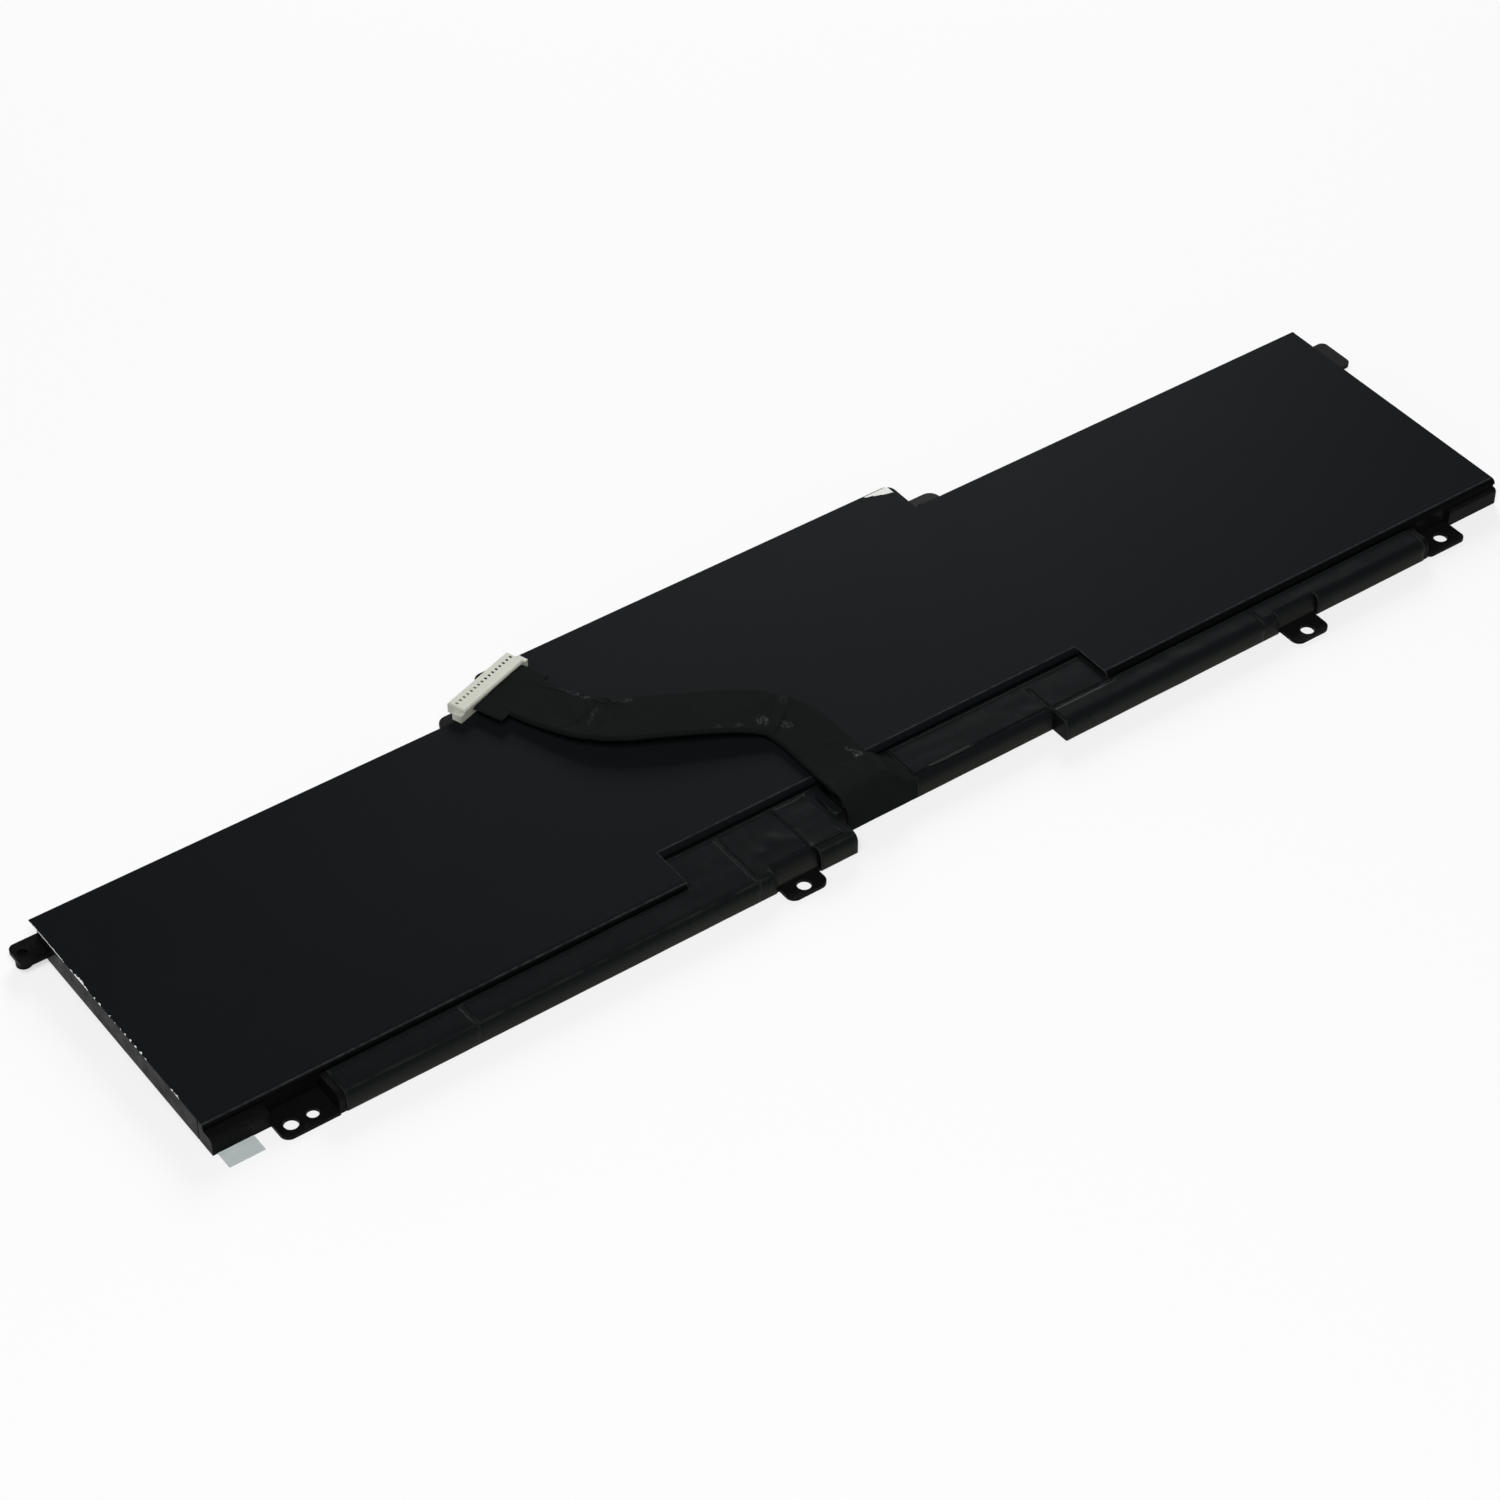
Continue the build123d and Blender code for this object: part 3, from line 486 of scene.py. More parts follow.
def cover_film():
    """Matte black printed film on a white core, which shows where the print is worn off the edges; painted
    shade on the fold and a painted highlight along the edges.
    """
    shade = Shade("film_black", 0.36, 0.0088)
    x, y = shade.axes()[:2]
    tone = shade.blend(shade.noise(26.0, 3.0), *FILM_TONES)
    speck = shade.span(shade.noise(620.0, 2.0), 0.775, 0.80)
    tone = shade.blend(shade.times(speck, 0.30), tone, FILM_SPECK)
    white = shade.math("MAXIMUM", worn_edge(shade, x, y), worn_corner(shade, x, y))
    # The cut edge all round, paler than the print
    normal = shade.surface()
    rim = shade.less(shade.math("ABSOLUTE", normal[2]), 0.6)
    rim = shade.times(rim, shade.more(normal[1], FOLD_LEAN[0]))
    tone = shade.blend(shade.times(rim, 0.50), tone, FILM_RIM)
    # Painted shade on the fold over the bays' fronts, fainter in the middle
    left = shade.less(x, -STEP_EDGE)
    inner = shade.less(shade.math("ABSOLUTE", x), STEP_EDGE)
    fold = shade.span(shade.math("MULTIPLY_ADD", left, LEFT_LEAN, normal[1]), *FOLD_LEAN)
    fold_shade = shade.times(fold, shade.span(inner, 0.0, 1.0, 1.0, MIDDLE_FOLD))
    tone = shade.blend(fold_shade, tone, FILM_FOLD_SHADE)
    # Painted highlight along the front edges and the sides of the steps
    flat_edge = shade.math("MULTIPLY_ADD", inner, STAGGER, film_low.y + FOLD_DEPTH)
    flat_edge = shade.math("MULTIPLY_ADD", left, -LEFT_FOLD, flat_edge)
    from_front = shade.away(y, flat_edge)
    from_step = shade.away(shade.math("ABSOLUTE", x), STEP_EDGE)
    beside = shade.less(y, film_low.y + STAGGER + FOLD_DEPTH)
    from_step = shade.math("ADD", from_step, shade.math("SUBTRACT", 1.0, beside))
    nearest = shade.math("MINIMUM", from_front, from_step)
    edge_highlight = shade.span(nearest, EDGE_LINE * 0.5, EDGE_LINE, 1.0, 0.0)
    edge_highlight = shade.times(edge_highlight, shade.span(shade.noise(700.0, 3.0), 0.35, 0.6, 0.35, 1.0))
    tone = shade.blend(edge_highlight, tone, EDGE_HIGHLIGHT)
    shade.colour(shade.blend(white, tone, FILM_CORE))
    shade.roughness(shade.span(shade.noise(60.0, 4.0), 0.3, 0.7, 0.36, 0.42))
    shade.bump(shade.noise(5200.0, 2.0), 0.000012, 0.4)
    shade.bump(shade.noise(34.0, 2.0), 0.0002, 0.03)
    return shade.material


# Painted highlights: the tilt and left end of the bend's highlight, and the span of the cut edges'
# highlight
BEND_HIGHLIGHT_ZONE = (0.80, 0.94, 0.04)
BEND_HIGHLIGHT_END = -0.0175
CUT_HIGHLIGHT_SPAN = (0.76, 0.86)
# Painted reflection of the floor: strongest at the foot of the rail's face and gone at the second height
REFLECTION_HEIGHT = (0.0004, 0.0042)
REFLECTION_SHARE = 0.95
TAPE_TONES = (0.0060, 0.0070, 0.0074), (0.0073, 0.0084, 0.0088)
TAPE_REFLECTION = (0.0310, 0.0298, 0.0270)
TAPE_BEND_HIGHLIGHT = (0.0200, 0.0205, 0.0200)
TAPE_LINT = (0.030, 0.033, 0.032)


def polyester_tape():
    """Thin black tape: satin face with faint drag lines and small wrinkles, a painted reflection of the
    floor low on the rail's face and painted highlights along the bend and the cut edges.
    """
    shade = Shade("tape_black", 0.27, 0.014)
    x, y, z = shade.axes()
    drag = shade.noise(60.0, 3.0, (0.35, 6.0, 6.0))
    tone = shade.blend(drag, *TAPE_TONES)
    # Painted reflection of the floor, paler towards the foot of the rail's face
    painted_reflection = shade.span(z, *REFLECTION_HEIGHT, REFLECTION_SHARE, 0.0)
    painted_reflection = shade.times(painted_reflection, shade.span(drag, 0.3, 0.7, 0.6, 1.0))
    tone = shade.blend(painted_reflection, tone, TAPE_REFLECTION)
    # Painted highlight along the bend over the left rail's front
    normal = shade.surface()
    bend_highlight = shade.times(
        shade.between(normal[2], *BEND_HIGHLIGHT_ZONE),
        shade.less(normal[1], 0.0),
        shade.less(x, BEND_HIGHLIGHT_END),
        shade.span(shade.noise(260.0, 3.0), 0.35, 0.6, 0.1, 0.7),
    )
    tone = shade.blend(bend_highlight, tone, TAPE_BEND_HIGHLIGHT)
    # Painted highlight along the cut edges
    edge = shade.node("ShaderNodeAttribute", {}, attribute_name="edge").outputs["Fac"]
    cut_highlight = shade.span(edge, *CUT_HIGHLIGHT_SPAN)
    cut_highlight = shade.times(cut_highlight, shade.span(shade.noise(500.0, 3.0), 0.35, 0.6, 0.15, 0.8))
    tone = shade.blend(cut_highlight, tone, EDGE_HIGHLIGHT)
    lint = shade.span(shade.noise(1300.0, 3.0), 0.70, 0.78)
    shade.colour(shade.blend(shade.times(lint, 0.25), tone, TAPE_LINT))
    shade.roughness(shade.span(shade.noise(240.0, 3.0), 0.3, 0.7, 0.25, 0.30))
    shade.bump(shade.noise(420.0, 3.0, (0.6, 1.4, 1.0)), 0.00003, 0.2)
    shade.bump(shade.noise(4600.0, 1.0), 0.000008, 0.4)
    return shade.material


def tape_edge():
    """Cut edge of a tape, where pale adhesive shows."""
    shade = Shade("tape_cut_edge", 0.5, 0.06)
    shade.colour(shade.blend(shade.noise(900.0, 3.0), (0.009, 0.010, 0.010), (0.024, 0.025, 0.024)))
    shade.bump(shade.noise(2500.0), 0.00002, 0.4)
    return shade.material


CABLE_SCUFFS = [
    # place along and across the strip, size along and across, share of white
    (0.0282, -0.0030, 0.0020, 0.0015, 0.55),
    (0.0221, -0.0016, 0.0017, 0.0013, 0.55),
    (0.0340, -0.0048, 0.0012, 0.0008, 0.30),
    (0.0385, -0.0052, 0.0010, 0.0006, 0.20),
    (0.0050, 0.0043, 0.0030, 0.0011, 0.85),
    (0.0085, 0.0036, 0.0012, 0.0005, 0.40),
    (0.0258, 0.0046, 0.0008, 0.0016, 0.20),
    (0.0575, 0.0050, 0.0036, 0.0008, 0.24),
    (0.0640, 0.0010, 0.0009, 0.0040, 0.16),
    (0.0700, 0.0052, 0.0060, 0.0005, 0.45),
]
WARP_PITCH = 0.00034
WEFT_PITCH = 0.00040
CLOTH_TONES = (0.0061, 0.0071, 0.0070), (0.0086, 0.0099, 0.0097)
CLOTH_WEAVE = (0.0116, 0.0133, 0.0131)
CLOTH_SCUFF = (0.10, 0.12, 0.12)


def cloth_tape(name, scuffs):
    """Greenish black cloth tape: plain weave, uneven tone and pale scuffs."""
    shade = Shade(name, 0.58, 0.005)
    u, v = shade.axes(shade.uv())[:2]
    warp = shade.math("SINE", shade.times(u, 2.0 * math.pi / WARP_PITCH))
    weft = shade.math("SINE", shade.times(v, 2.0 * math.pi / WEFT_PITCH))
    weave = shade.times(warp, weft)
    patchy = shade.noise(230.0, 4.0)
    tone = shade.blend(patchy, *CLOTH_TONES)
    tone = shade.blend(shade.span(weave, -1.0, 1.0, 0.0, 0.22), tone, CLOTH_WEAVE)
    broken = shade.span(shade.noise(1700.0, 5.0), 0.44, 0.66)
    face = CABLE_WIDTH / 2 - CABLE_THICK / 2
    for s, across, long, wide, share in scuffs:
        ds = shade.math("DIVIDE", shade.math("SUBTRACT", u, s), long)
        dv = shade.math("DIVIDE", shade.math("SUBTRACT", v, across + face), wide)
        away = shade.math("ADD", shade.times(ds, ds), shade.times(dv, dv))
        spot = shade.times(shade.span(away, 0.0, 1.2, share, 0.0), broken)
        tone = shade.blend(spot, tone, CLOTH_SCUFF)
    shade.colour(tone)
    shade.roughness(shade.span(patchy, 0.3, 0.7, 0.50, 0.66))
    shade.bump(weave, 0.00003, 0.6)
    shade.bump(shade.noise(650.0, 3.0), 0.0001, 0.3)
    return shade.material


# Painted shade in the row of windows: its place ahead of the cable's end, half its depth, and the walls
# kept below and above it
WINDOW_ROW = (0.00285, 0.00042)
WINDOW_WALLS = (0.0006, 0.00012)
CONNECTOR_SHIFT = -0.0015
CONNECTOR_INNER = 0.0096
CREAM_TONES = (0.48, 0.485, 0.415), (0.55, 0.555, 0.48)
WINDOW_SHADE = (0.030, 0.028, 0.020)
CREAM_SCATTER = (0.001, 0.0009, 0.0007)


def cream_plastic():
    """Cream nylon of the connector, faintly mottled, with painted shade in the windows over the contacts.
    """
    shade = Shade("connector_cream", 0.42, 0.4)
    mottle = shade.noise(600.0, 3.0)
    tone = shade.blend(mottle, *CREAM_TONES)
    x, y, z = shade.axes()
    dx = shade.math("SUBTRACT", x, cable_line[-1].x)
    dy = shade.math("SUBTRACT", y, cable_line[-1].y)
    ahead = shade.math("MULTIPLY_ADD", dy, end_side.x, shade.times(dx, -end_side.y))
    across = shade.math("MULTIPLY_ADD", dx, end_side.x, shade.times(dy, end_side.y))
    low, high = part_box("connector_housing")
    # Painted shade deep in the windows over the contacts
    shaded_windows = shade.times(
        shade.less(shade.away(ahead, WINDOW_ROW[0]), WINDOW_ROW[1]),
        shade.less(shade.away(across, CONNECTOR_SHIFT), CONNECTOR_INNER),
        shade.less(z, high.z - WINDOW_WALLS[1]),
        shade.more(z, low.z + WINDOW_WALLS[0]),
    )
    shade.colour(shade.blend(shaded_windows, tone, WINDOW_SHADE))
    shade.shader.inputs["Subsurface Weight"].default_value = 0.12
    shade.shader.inputs["Subsurface Radius"].default_value = CREAM_SCATTER
    shade.roughness(shade.span(mottle, 0.3, 0.7, 0.36, 0.48))
    shade.bump(shade.noise(3000.0, 2.0), 0.00001, 0.5)
    return shade.material


def plated(name, first, second, roughness):
    """Plated metal with a fine brushed face."""
    shade = Shade(name, roughness, 0.5, 1.0)
    brush = shade.noise(700.0, 4.0, (8.0, 1.0, 1.0))
    shade.colour(shade.blend(brush, first, second))
    shade.roughness(shade.span(brush, 0.3, 0.7, roughness - 0.06, roughness + 0.08))
    shade.bump(brush, 0.00001, 0.4)
    return shade.material


def pouch_laminate():
    """Silver-grey pouch of a cell with its embossed grain."""
    shade = Shade("pouch_laminate", 0.38, 0.5, 0.75)
    grain = shade.noise(1400.0, 3.0)
    shade.colour(shade.blend(grain, (0.42, 0.43, 0.44), (0.55, 0.56, 0.57)))
    shade.roughness(shade.span(grain, 0.3, 0.7, 0.32, 0.46))
    shade.bump(grain, 0.00002, 0.5)
    return shade.material


COPPER_PITCH = 0.0011


def solder_mask():
    """Green board with copper runs under its mask."""
    shade = Shade("board_green", 0.32, 0.5)
    y = shade.axes()[1]
    runs = shade.math("SINE", shade.times(y, 2.0 * math.pi / COPPER_PITCH))
    gaps = shade.span(shade.noise(160.0, 2.0, (0.3, 1.0, 1.0)), 0.45, 0.55)
    copper = shade.times(shade.span(runs, 0.1, 0.3), gaps)
    shade.colour(shade.blend(copper, (0.003, 0.011, 0.007), (0.005, 0.019, 0.012)))
    shade.bump(copper, 0.00003, 0.5)
    return shade.material


def speckled(name, first, second, roughness, scale):
    """A moulded or coated body with a fine two-tone speckle."""
    shade = Shade(name, roughness, 0.4)
    grain = shade.noise(scale, 3.0)
    shade.colour(shade.blend(grain, first, second))
    shade.roughness(shade.span(grain, 0.3, 0.7, roughness - 0.06, roughness + 0.08))
    shade.bump(grain, 0.00002, 0.4)
    return shade.material


def pale_tail():
    """Pale, half-clear tape tail with a dusty adhesive face."""
    shade = Shade("tape_pale", 0.45, 0.35)
    haze = shade.noise(420.0, 4.0)
    shade.colour(shade.blend(haze, (0.54, 0.60, 0.60), (0.68, 0.745, 0.745)))
    shade.shader.inputs["Transmission Weight"].default_value = 0.15
    shade.roughness(shade.span(haze, 0.3, 0.7, 0.38, 0.56))
    shade.bump(haze, 0.00004, 0.4)
    return shade.material


plastic = moulded_plastic()
film = cover_film()
tape = polyester_tape()
cut_edge = tape_edge()
cloth = cloth_tape("cloth_tape", CABLE_SCUFFS)
plain_cloth = cloth_tape("cloth_tape_plain", [])
cream = cream_plastic()
pale = pale_tail()
nickel = plated("nickel", (0.60, 0.58, 0.54), (0.72, 0.70, 0.66), 0.30)
gold = plated("contact_gold", (0.72, 0.56, 0.26), (0.85, 0.68, 0.36), 0.28)
foil = plated("aluminium_foil", (0.70, 0.71, 0.72), (0.82, 0.83, 0.84), 0.34)
pouch = pouch_laminate()
board = solder_mask()
chip_black = speckled("chip_black", (0.012, 0.012, 0.013), (0.022, 0.022, 0.023), 0.5, 2600.0)
chip_grey = speckled("chip_grey", (0.16, 0.15, 0.13), (0.26, 0.25, 0.22), 0.45, 2600.0)
adhesive = speckled("adhesive_white", (0.66, 0.66, 0.64), (0.78, 0.78, 0.76), 0.6, 900.0)
wire = speckled("wire_black", (0.010, 0.010, 0.011), (0.018, 0.018, 0.019), 0.42, 1500.0)

NODE_MATERIALS = {
    plastic: ["carrier_frame"],
    film: ["top_film", "bottom_film"],
    pouch: ["cell_left", "cell_middle", "cell_right"],
    foil: ["positive_tabs"],
    nickel: ["negative_tabs", "weld_plates", "safety_fuse"],
    adhesive: ["cell_pads"],
    board: ["protection_board"],
    chip_black: ["gauge_chip", "protector_chip", "power_transistors", "thermistor"],
    chip_grey: ["sense_resistor", "chip_parts"],
    wire: ["lead_wires"],
    cream: ["connector_housing"],
    gold: ["connector_contacts"],
    pale: ["tape_tail"],
}
for material, names in NODE_MATERIALS.items():
    for name in names:
        mesh = nodes[name].data
        mesh.materials.clear()
        mesh.materials.append(material)

cable.data.materials.append(cloth)
end_tape.data.materials.append(plain_cloth)


WELD = 0.000002


def sheet(name, patches, thick, relief):
    """A thin sheet from grids of points on its outer face, welded where they meet and thickened."""
    mesh = bpy.data.meshes.new(name)
    bm = bmesh.new()
    uv = bm.loops.layers.uv.new("strip")
    edge = bm.verts.layers.float.new("edge")
    for rows in patches:
        grid = [[bm.verts.new(point) for point in row] for row in rows]
        runs = [distances(row) for row in rows]
        for i in range(len(grid) - 1):
            for j in range(len(grid[0]) - 1):
                face = bm.faces.new((grid[i][j], grid[i][j + 1], grid[i + 1][j + 1], grid[i + 1][j]))
                face.smooth = True
                marks = ((i, j), (i, j + 1), (i + 1, j + 1), (i + 1, j))
                for loop, (row, column) in zip(face.loops, marks):
                    loop[uv].uv = (rows[row][column].x, runs[row][column])
    bmesh.ops.remove_doubles(bm, verts=bm.verts, dist=WELD)
    bmesh.ops.recalc_face_normals(bm, faces=bm.faces)
    if sum(face.normal.z * face.calc_area() for face in bm.faces) < 0:
        bmesh.ops.reverse_faces(bm, faces=bm.faces)
    bm.normal_update()
    for vertex in bm.verts:
        vertex[edge] = 1.0 if vertex.is_boundary else 0.0
    moves = [vertex.normal * relief(vertex.co) for vertex in bm.verts]
    for vertex, move in zip(bm.verts, moves):
        vertex.co += move
    bm.to_mesh(mesh)
    bm.free()
    made = piece(name, mesh)
    body = made.modifiers.new("thickness", "SOLIDIFY")
    body.thickness = thick
    body.offset = -1.0
    body.material_offset_rim = 1
    return made


# Tapes along the rail
TAPE_THICK = 0.0002
TAPE_ROUND = 0.00175
TAPE_STEP = 0.0009
NOTCH_HALF = 0.0055
BAY_HALF = 0.0540
TAB_TOP = 0.0008
RECESS = (-0.0175, 0.0380)
MIDDLE_SLOT = 0.00045
TAPE_JOINT = (0.0005, 0.0006)
TAPE_BUMPS = [
    # middle of a soft bump in plan, its reach and its height
    (-0.0319, -0.0319, 0.0020, 0.00018),
    (-0.0365, -0.0330, 0.0014, 0.00012),
    (-0.0280, -0.0345, 0.0016, 0.00010),
    (-0.0722, -0.0352, 0.0030, 0.00010),
    (0.0335, -0.0308, 0.0007, 0.00006),
    (0.0352, -0.0318, 0.0006, 0.00007),
    (0.0372, -0.0300, 0.0007, 0.00006),
    (0.0391, -0.0314, 0.0006, 0.00005),
    (0.0700, -0.0360, 0.0026, 0.00010),
    (0.1200, -0.0365, 0.0030, 0.00008),
]
RIPPLE_HEIGHT = 0.00004
FINE_HEIGHT = 0.000018
TAPE_LIFT = 0.00001
RAIL_WALL = 0.0013
ROUND_TURNS = 10
# A notch: its middle along the rail, its shoulder on the top and its foot on the tab
LEFT_NOTCH = (-0.0322, -0.03765, -0.03962)
RIGHT_NOTCH = (0.1019, -0.03723, -0.03850)
# First small drop over a notch's shoulder, forward and down, and the gap to the tab below
NOTCH_LIP = (0.00012, 0.00005)
TAB_GAP = 0.0001
# Where the grids of a tape meet: past the bays' sides, at the recess and before the next tape
LEFT_BEND = -BAY_HALF + 0.0001
RIGHT_BEND = BAY_HALF + 0.0010
RECESS_STEP = 0.1210
STEP_GAP = 0.0001
CREST_PLACE = 0.00030
CREST_DROP = 0.00008
SAG_START = 0.0011
SAG_DEPTH = 0.00004
FINE_STEP = 0.00012

left_low, left_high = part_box("tape_left_end")
tape_foot, tape_top = left_low.z, left_high.z
outer_back = left_high.y
middle_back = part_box("tape_left_long")[1].y - MIDDLE_SLOT
left_face = left_low.y
recess_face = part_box("tape_middle_right")[0].y
right_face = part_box("tape_right_end")[0].y


def tape_sag(point):
    """Height of a tape's top: it droops behind the ledge, sags past it and rises to the front wall."""
    back = middle_back if abs(point.x) < BAY_HALF else outer_back
    face = left_face if point.x < RECESS[0] else recess_face if point.x < RECESS[1] else right_face
    whole = back - face - TAPE_ROUND
    gone = back - point.y
    droop = CREST_DROP * max(0.0, 1.0 - gone / CREST_PLACE) ** 2
    left = 1.0 - min(1.0, max(0.0, (gone - SAG_START) / (whole - SAG_START)))
    return -droop - SAG_DEPTH * ease(gone, CREST_PLACE, SAG_START) * left


def tape_relief(point):
    """Soft bumps, slack and fine ripples of a tape that spans the open rail, and its dip past the ledge."""
    x, y, z = point.x / MM, point.y / MM, point.z / MM
    lift = sum(
        height * math.exp(-(((point.x - a) ** 2 + (point.y - b) ** 2) / reach**2))
        for a, b, reach, height in TAPE_BUMPS
    )
    ripple = RIPPLE_HEIGHT * noise.noise(Vector((x * 0.11, y * 0.35, z * 0.35)))
    fine = FINE_HEIGHT * noise.noise(Vector((x * 0.6, y * 0.8, z * 0.8 + 5.0)))
    return lift + ripple + fine + tape_sag(point) + TAPE_LIFT


def rail_rest(face, start):
    """Profile over a rail's front, from start on its top, round the edge and down its face."""
    middle_y, middle_z = face + TAPE_ROUND, tape_top - TAPE_ROUND
    profile = [(y, tape_top) for y in steps(start, middle_y, TAPE_STEP)]
    for i in range(1, ROUND_TURNS + 1):
        a = math.radians(90.0 + 90.0 * i / ROUND_TURNS)
        profile.append((middle_y + TAPE_ROUND * math.cos(a), middle_z + TAPE_ROUND * math.sin(a)))
    profile += [(face, z) for z in steps(middle_z, tape_foot, TAPE_STEP / 2)[1:]]
    return profile


def notch_rest(shoulder, foot):
    """Profile down the slanted face of a notch, from its shoulder on the rail's top."""
    y, z = shoulder - NOTCH_LIP[0], tape_top - NOTCH_LIP[1]
    drop = TAB_TOP + TAB_GAP - tape_top
    slope = [(y + (foot - shoulder) * k, z + drop * k) for k in steps(0.0, 1.0, 0.1)]
    return [(shoulder, tape_top)] + slope


def flat_run(back, front):
    """Flat profile on the rail's top, finer where the tape bends over the ledge."""
    fine = min(SAG_START, back - front)
    profile = [(y, tape_top) for y in steps(back, back - fine, FINE_STEP)]
    return profile + [(y, tape_top) for y in steps(back - fine, front, TAPE_STEP)[1:]]


def over_rail(back, start, face):
    """Whole profile of a tape: flat from its back to start, then over the rail's front."""
    return flat_run(back, start)[:-1] + rail_rest(face, start)


def laid(x_first, x_last, profile):
    """Grid of points: a profile repeated from x_first to x_last."""
    return [[Vector((x, y, z)) for y, z in profile] for x in steps(x_first, x_last, TAPE_STEP)]


def rail_tape(node, patches):
    """One tape of the rail, in place of its CAD node."""
    made = sheet(node.replace("tape", "tape_sheet"), patches, TAPE_THICK, tape_relief)
    made.data.materials.append(tape)
    made.data.materials.append(cut_edge)
    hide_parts(node)


def edges(node):
    """Left and right end of a node."""
    low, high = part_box(node)
    return low.x, high.x


whole = over_rail(outer_back, outer_back - RAIL_WALL, left_face)
behind = flat_run(middle_back, outer_back)

first, last = edges("tape_left_end")
rail_tape("tape_left_end", [laid(first, last, whole)])

first, last = edges("tape_left_long")
rail_tape("tape_left_long", [
    laid(first, LEFT_BEND, whole),
    laid(LEFT_BEND, last, whole),
    laid(LEFT_BEND, last, behind),
])

first, last = edges("tape_middle_left")
place, shoulder, foot = LEFT_NOTCH
notch_first, notch_last = place - NOTCH_HALF, place + NOTCH_HALF
step_x = left_low.x + RECESS_STEP
rail_end = over_rail(outer_back, shoulder, left_face)
notch_end = flat_run(outer_back, shoulder)[:-1] + notch_rest(shoulder, foot)
rail_tape("tape_middle_left", [
    laid(first, notch_first, rail_end),
    laid(notch_first, notch_last, notch_end),
    laid(notch_last, step_x, rail_end),
    laid(first, notch_first, behind),
    laid(notch_first, notch_last, behind),
    laid(notch_last, step_x, behind),
    laid(step_x, last, flat_run(middle_back, recess_face + TAPE_ROUND)),
])

first, last = edges("tape_middle_right")
step_x = edges("tape_right_inner")[0] - STEP_GAP
rail_tape("tape_middle_right", [
    laid(first, step_x, over_rail(middle_back, outer_back, recess_face)),
    laid(step_x, last, flat_run(middle_back, outer_back - TAPE_JOINT[0])),
])

first, last = edges("tape_right_inner")
start = outer_back - TAPE_JOINT[1]
rail_tape("tape_right_inner", [
    laid(first, RIGHT_BEND, rail_rest(right_face, start)),
    laid(RIGHT_BEND, last, rail_rest(right_face, start)),
    laid(RIGHT_BEND, last, flat_run(outer_back, start)),
])

first, last = edges("tape_right_end")
place, shoulder, foot = RIGHT_NOTCH
notch_first, notch_last = place - NOTCH_HALF, place + NOTCH_HALF
rail_end = over_rail(outer_back, shoulder, right_face)
notch_end = flat_run(outer_back, shoulder)[:-1] + notch_rest(shoulder, foot)
rail_tape("tape_right_end", [
    laid(first, notch_first, rail_end),
    laid(notch_first, notch_last, notch_end),
    laid(notch_last, last, rail_end),
])

# Patch of tape over the joint, its corners a little raised
patch_low, patch_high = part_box("tape_patch")
patch_middle = (patch_low + patch_high) / 2
PATCH_SLACK = 1.1
CORNER_LIFT = 0.00022


def patch_relief(point):
    """Soft bumps under the patch and its lifting corners."""
    across = abs(point.x - patch_middle.x) / (patch_high.x - patch_low.x) * 2.0
    along = abs(point.y - patch_middle.y) / (patch_high.y - patch_low.y) * 2.0
    return tape_relief(point) * PATCH_SLACK + CORNER_LIFT * (across * along) ** 6


patch = sheet(
    "tape_sheet_patch",
    [[
        [Vector((x, y, patch_high.z)) for y in steps(patch_high.y, patch_low.y, TAPE_STEP / 2)]
        for x in steps(patch_low.x, patch_high.x, TAPE_STEP / 2)
    ]],
    patch_high.z - patch_low.z,
    patch_relief,
)
patch.data.materials.append(tape)
patch.data.materials.append(cut_edge)
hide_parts("tape_patch")

# Tape hump over the wires where they leave the rail: full on its left, low on its right
EXIT_SHOULDER = 0.0042
EXIT_FALL = (-0.0030, 0.0014)
EXIT_RISE = 0.0012
EXIT_REACH = (0.0012, 0.0046)
EXIT_TAPER = (0.0045, 0.00024)
EXIT_TURNS = 16
EXIT_STEP = 0.0005
EXIT_SLACK = (0.00006, 0.00003)
exit_low, exit_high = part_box("cable_exit_tape")


def exit_profile(share):
    """Profile of the hump: from the rail's foot up its face, over the shoulder and back along the top."""
    top = tape_top + (exit_high.z - tape_top) * share
    shoulder = min(EXIT_SHOULDER, top - EXIT_RISE)
    rise = top - shoulder
    reach = EXIT_REACH[0] + (EXIT_REACH[1] - EXIT_REACH[0]) * share
    profile = [(exit_low.y, tape_foot + (shoulder - tape_foot) * k) for k in steps(0.0, 1.0, 0.12)]
    for i in range(1, EXIT_TURNS + 1):
        a = math.pi / 2 * i / EXIT_TURNS
        profile.append((exit_low.y + reach * (1.0 - math.cos(a)), shoulder + rise * math.sin(a)))
    start = exit_low.y + reach
    for k in steps(0.0, 1.0, 0.1)[1:]:
        y = start + (exit_high.y - start) * k
        profile.append((y, top - EXIT_TAPER[1] * ease(y, exit_high.y - EXIT_TAPER[0], exit_high.y)))
    return profile


def exit_relief(point):
    """Slack of the cloth over the wires."""
    x, y, z = point / MM
    broad = EXIT_SLACK[0] * noise.noise(Vector((x * 0.4, y * 0.5, z * 0.5)))
    return broad + EXIT_SLACK[1] * noise.noise(Vector((x * 1.4, y, z)))


exit_rows = []
for x in steps(exit_low.x, exit_high.x, EXIT_STEP):
    exit_rows.append([Vector((x, y, z)) for y, z in exit_profile(1.0 - ease(x, *EXIT_FALL))])
exit_cover = sheet("cable_exit_cover", [exit_rows], TAPE_THICK, exit_relief)
exit_cover.data.materials.append(plain_cloth)
exit_cover.data.materials.append(plain_cloth)
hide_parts("cable_exit_tape")


FRAME_ROUND = 0.00014
CONNECTOR_ROUND = 0.00018
ROUND_SEGMENTS = 2
ROUND_ANGLE = 40.0


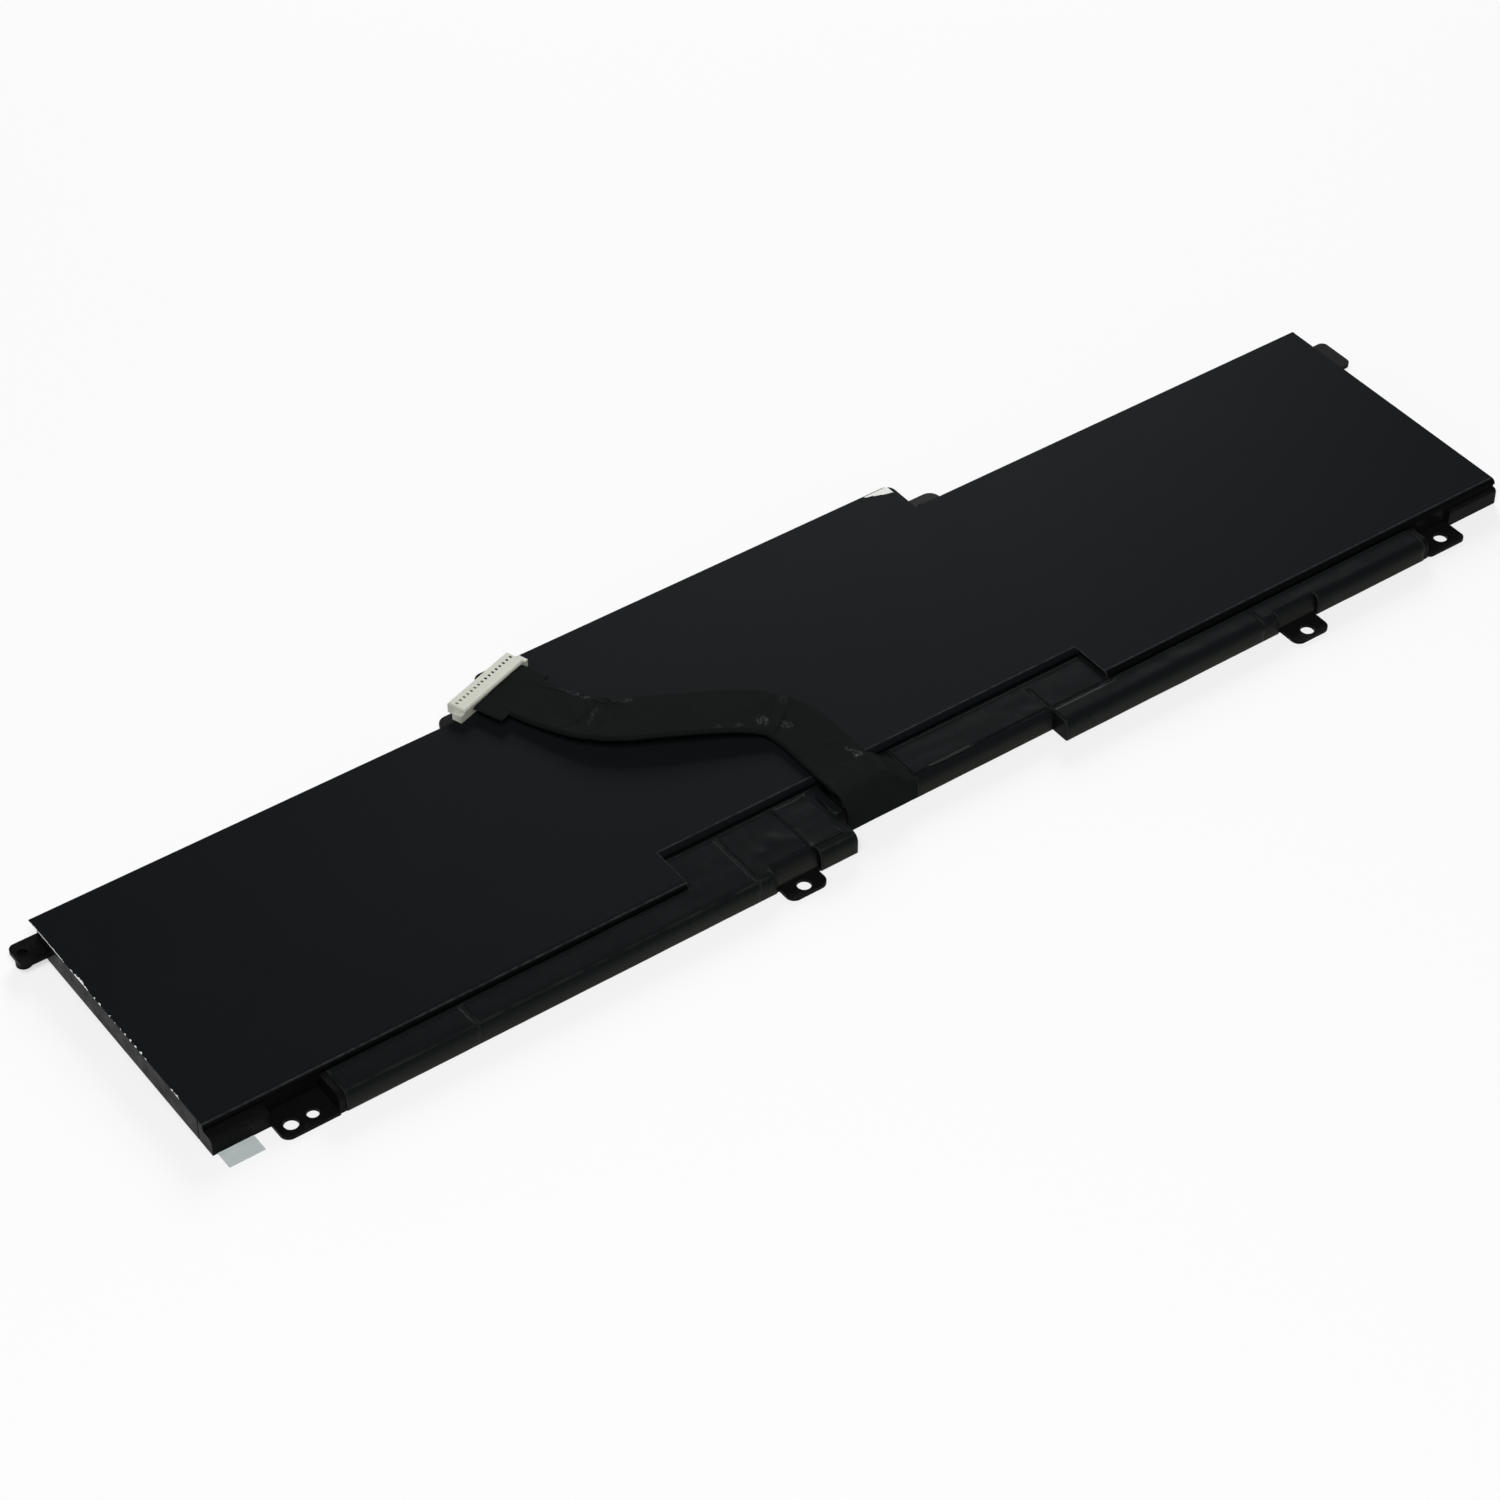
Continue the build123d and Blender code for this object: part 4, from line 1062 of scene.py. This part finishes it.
def soften(name, width):
    """Small round on the edges of a CAD node."""
    round_edges = nodes[name].modifiers.new("edge_round", "BEVEL")
    round_edges.width = width
    round_edges.segments = ROUND_SEGMENTS
    round_edges.limit_method = "ANGLE"
    round_edges.angle_limit = math.radians(ROUND_ANGLE)
    round_edges.use_clamp_overlap = True
    round_edges.harden_normals = False


soften("carrier_frame", FRAME_ROUND)
soften("connector_housing", CONNECTOR_ROUND)

# Floor and backdrop
FLOOR_SIZE = 6.0
FLOOR_CELLS = 24
FLOOR_DROP = 0.00002
FLOOR_TONES = (0.94, 0.94, 0.94), (0.96, 0.96, 0.96)
FLOOR_WHITE = 0.6
floor_mesh = bpy.data.meshes.new("floor")
floor_bm = bmesh.new()
bmesh.ops.create_grid(floor_bm, x_segments=FLOOR_CELLS, y_segments=FLOOR_CELLS, size=FLOOR_SIZE / 2)
floor_bm.to_mesh(floor_mesh)
floor_bm.free()
floor = bpy.data.objects.new("floor", floor_mesh)
floor.location.z = cad_low.z - FLOOR_DROP
bpy.context.collection.objects.link(floor)
floor_shade = Shade("floor_pale", 0.9, 0.1)
floor_shade.colour(floor_shade.blend(floor_shade.noise(3.0), *FLOOR_TONES))
floor_mesh.materials.append(floor_shade.material)
floor_rays = floor_shade.tree.nodes.new("ShaderNodeLightPath").outputs
floor_seen = floor_shade.math("MAXIMUM", floor_rays["Is Glossy Ray"], floor_rays["Is Transmission Ray"])
floor_seen = floor_shade.math("MAXIMUM", floor_seen, floor_rays["Is Camera Ray"])
floor_seen = floor_shade.times(floor_seen, FLOOR_WHITE)
floor_white = floor_shade.node("ShaderNodeEmission", {"Color": (1.0, 1.0, 1.0), "Strength": 1.0})
floor_mix = floor_shade.node(
    "ShaderNodeMixShader",
    {0: floor_seen, 1: floor_shade.shader.outputs[0], 2: floor_white.outputs[0]},
)
floor_out = floor_shade.tree.nodes["Material Output"]
floor_shade.tree.links.new(floor_mix.outputs[0], floor_out.inputs["Surface"])

# Soft studio light: a dome, white at the horizon, and two large panels
DOME_HORIZON = 1.0
DOME_TOP = 0.10
DOME_RISE = (0.08, 0.48)
DOME_LIGHT = 0.7
# Each panel's name, place, size and power
PANELS = [
    ("panel_back", (0.85, 1.20, 0.64), 0.6, 15.5),
    ("panel_front", (-0.45, -0.55, 1.30), 0.9, 17.0),
]

world = bpy.data.worlds.new("studio")
bpy.context.scene.world = world
world.use_nodes = True
dome = world.node_tree
dome.nodes.clear()


def dome_node(kind, inputs, **settings):
    """A new node of the world with its settings and inputs."""
    made = dome.nodes.new(kind)
    for key, value in settings.items():
        setattr(made, key, value)
    for key, value in inputs.items():
        if isinstance(value, bpy.types.NodeSocket):
            dome.links.new(value, made.inputs[key])
        else:
            made.inputs[key].default_value = value
    return made


way = dome_node("ShaderNodeTexCoord", {}).outputs["Generated"]
height = dome_node("ShaderNodeSeparateXYZ", {0: way}).outputs[2]
glow = dome_node(
    "ShaderNodeMapRange",
    {
        "Value": height,
        "From Min": DOME_RISE[0],
        "From Max": DOME_RISE[1],
        "To Min": DOME_HORIZON,
        "To Max": DOME_TOP,
    },
    interpolation_type="SMOOTHSTEP",
).outputs[0]
rays = dome_node("ShaderNodeLightPath", {}).outputs
mirrored = dome_node(
    "ShaderNodeMath",
    {0: rays["Is Glossy Ray"], 1: rays["Is Transmission Ray"]},
    operation="MAXIMUM",
).outputs[0]
soft_light = dome_node("ShaderNodeMath", {0: glow, 1: DOME_LIGHT}, operation="MULTIPLY").outputs[0]
shown = dome_node("ShaderNodeMix", {0: mirrored, 2: soft_light, 3: glow}).outputs[0]
level = dome_node("ShaderNodeMix", {0: rays["Is Camera Ray"], 2: shown, 3: 1.0}).outputs[0]
sky = dome_node("ShaderNodeBackground", {"Color": (1.0, 1.0, 1.0, 1.0), "Strength": level})
out = dome.nodes.new("ShaderNodeOutputWorld")
dome.links.new(sky.outputs[0], out.inputs[0])


def panel(name, place, size, power):
    """A square light panel aimed at the pack."""
    data = bpy.data.lights.new(name, "AREA")
    data.shape = "SQUARE"
    data.size = size
    data.energy = power
    lamp = bpy.data.objects.new(name, data)
    lamp.location = place
    lamp.rotation_euler = (-Vector(place)).to_track_quat("-Z", "Y").to_euler()
    bpy.context.collection.objects.link(lamp)


for settings in PANELS:
    panel(*settings)
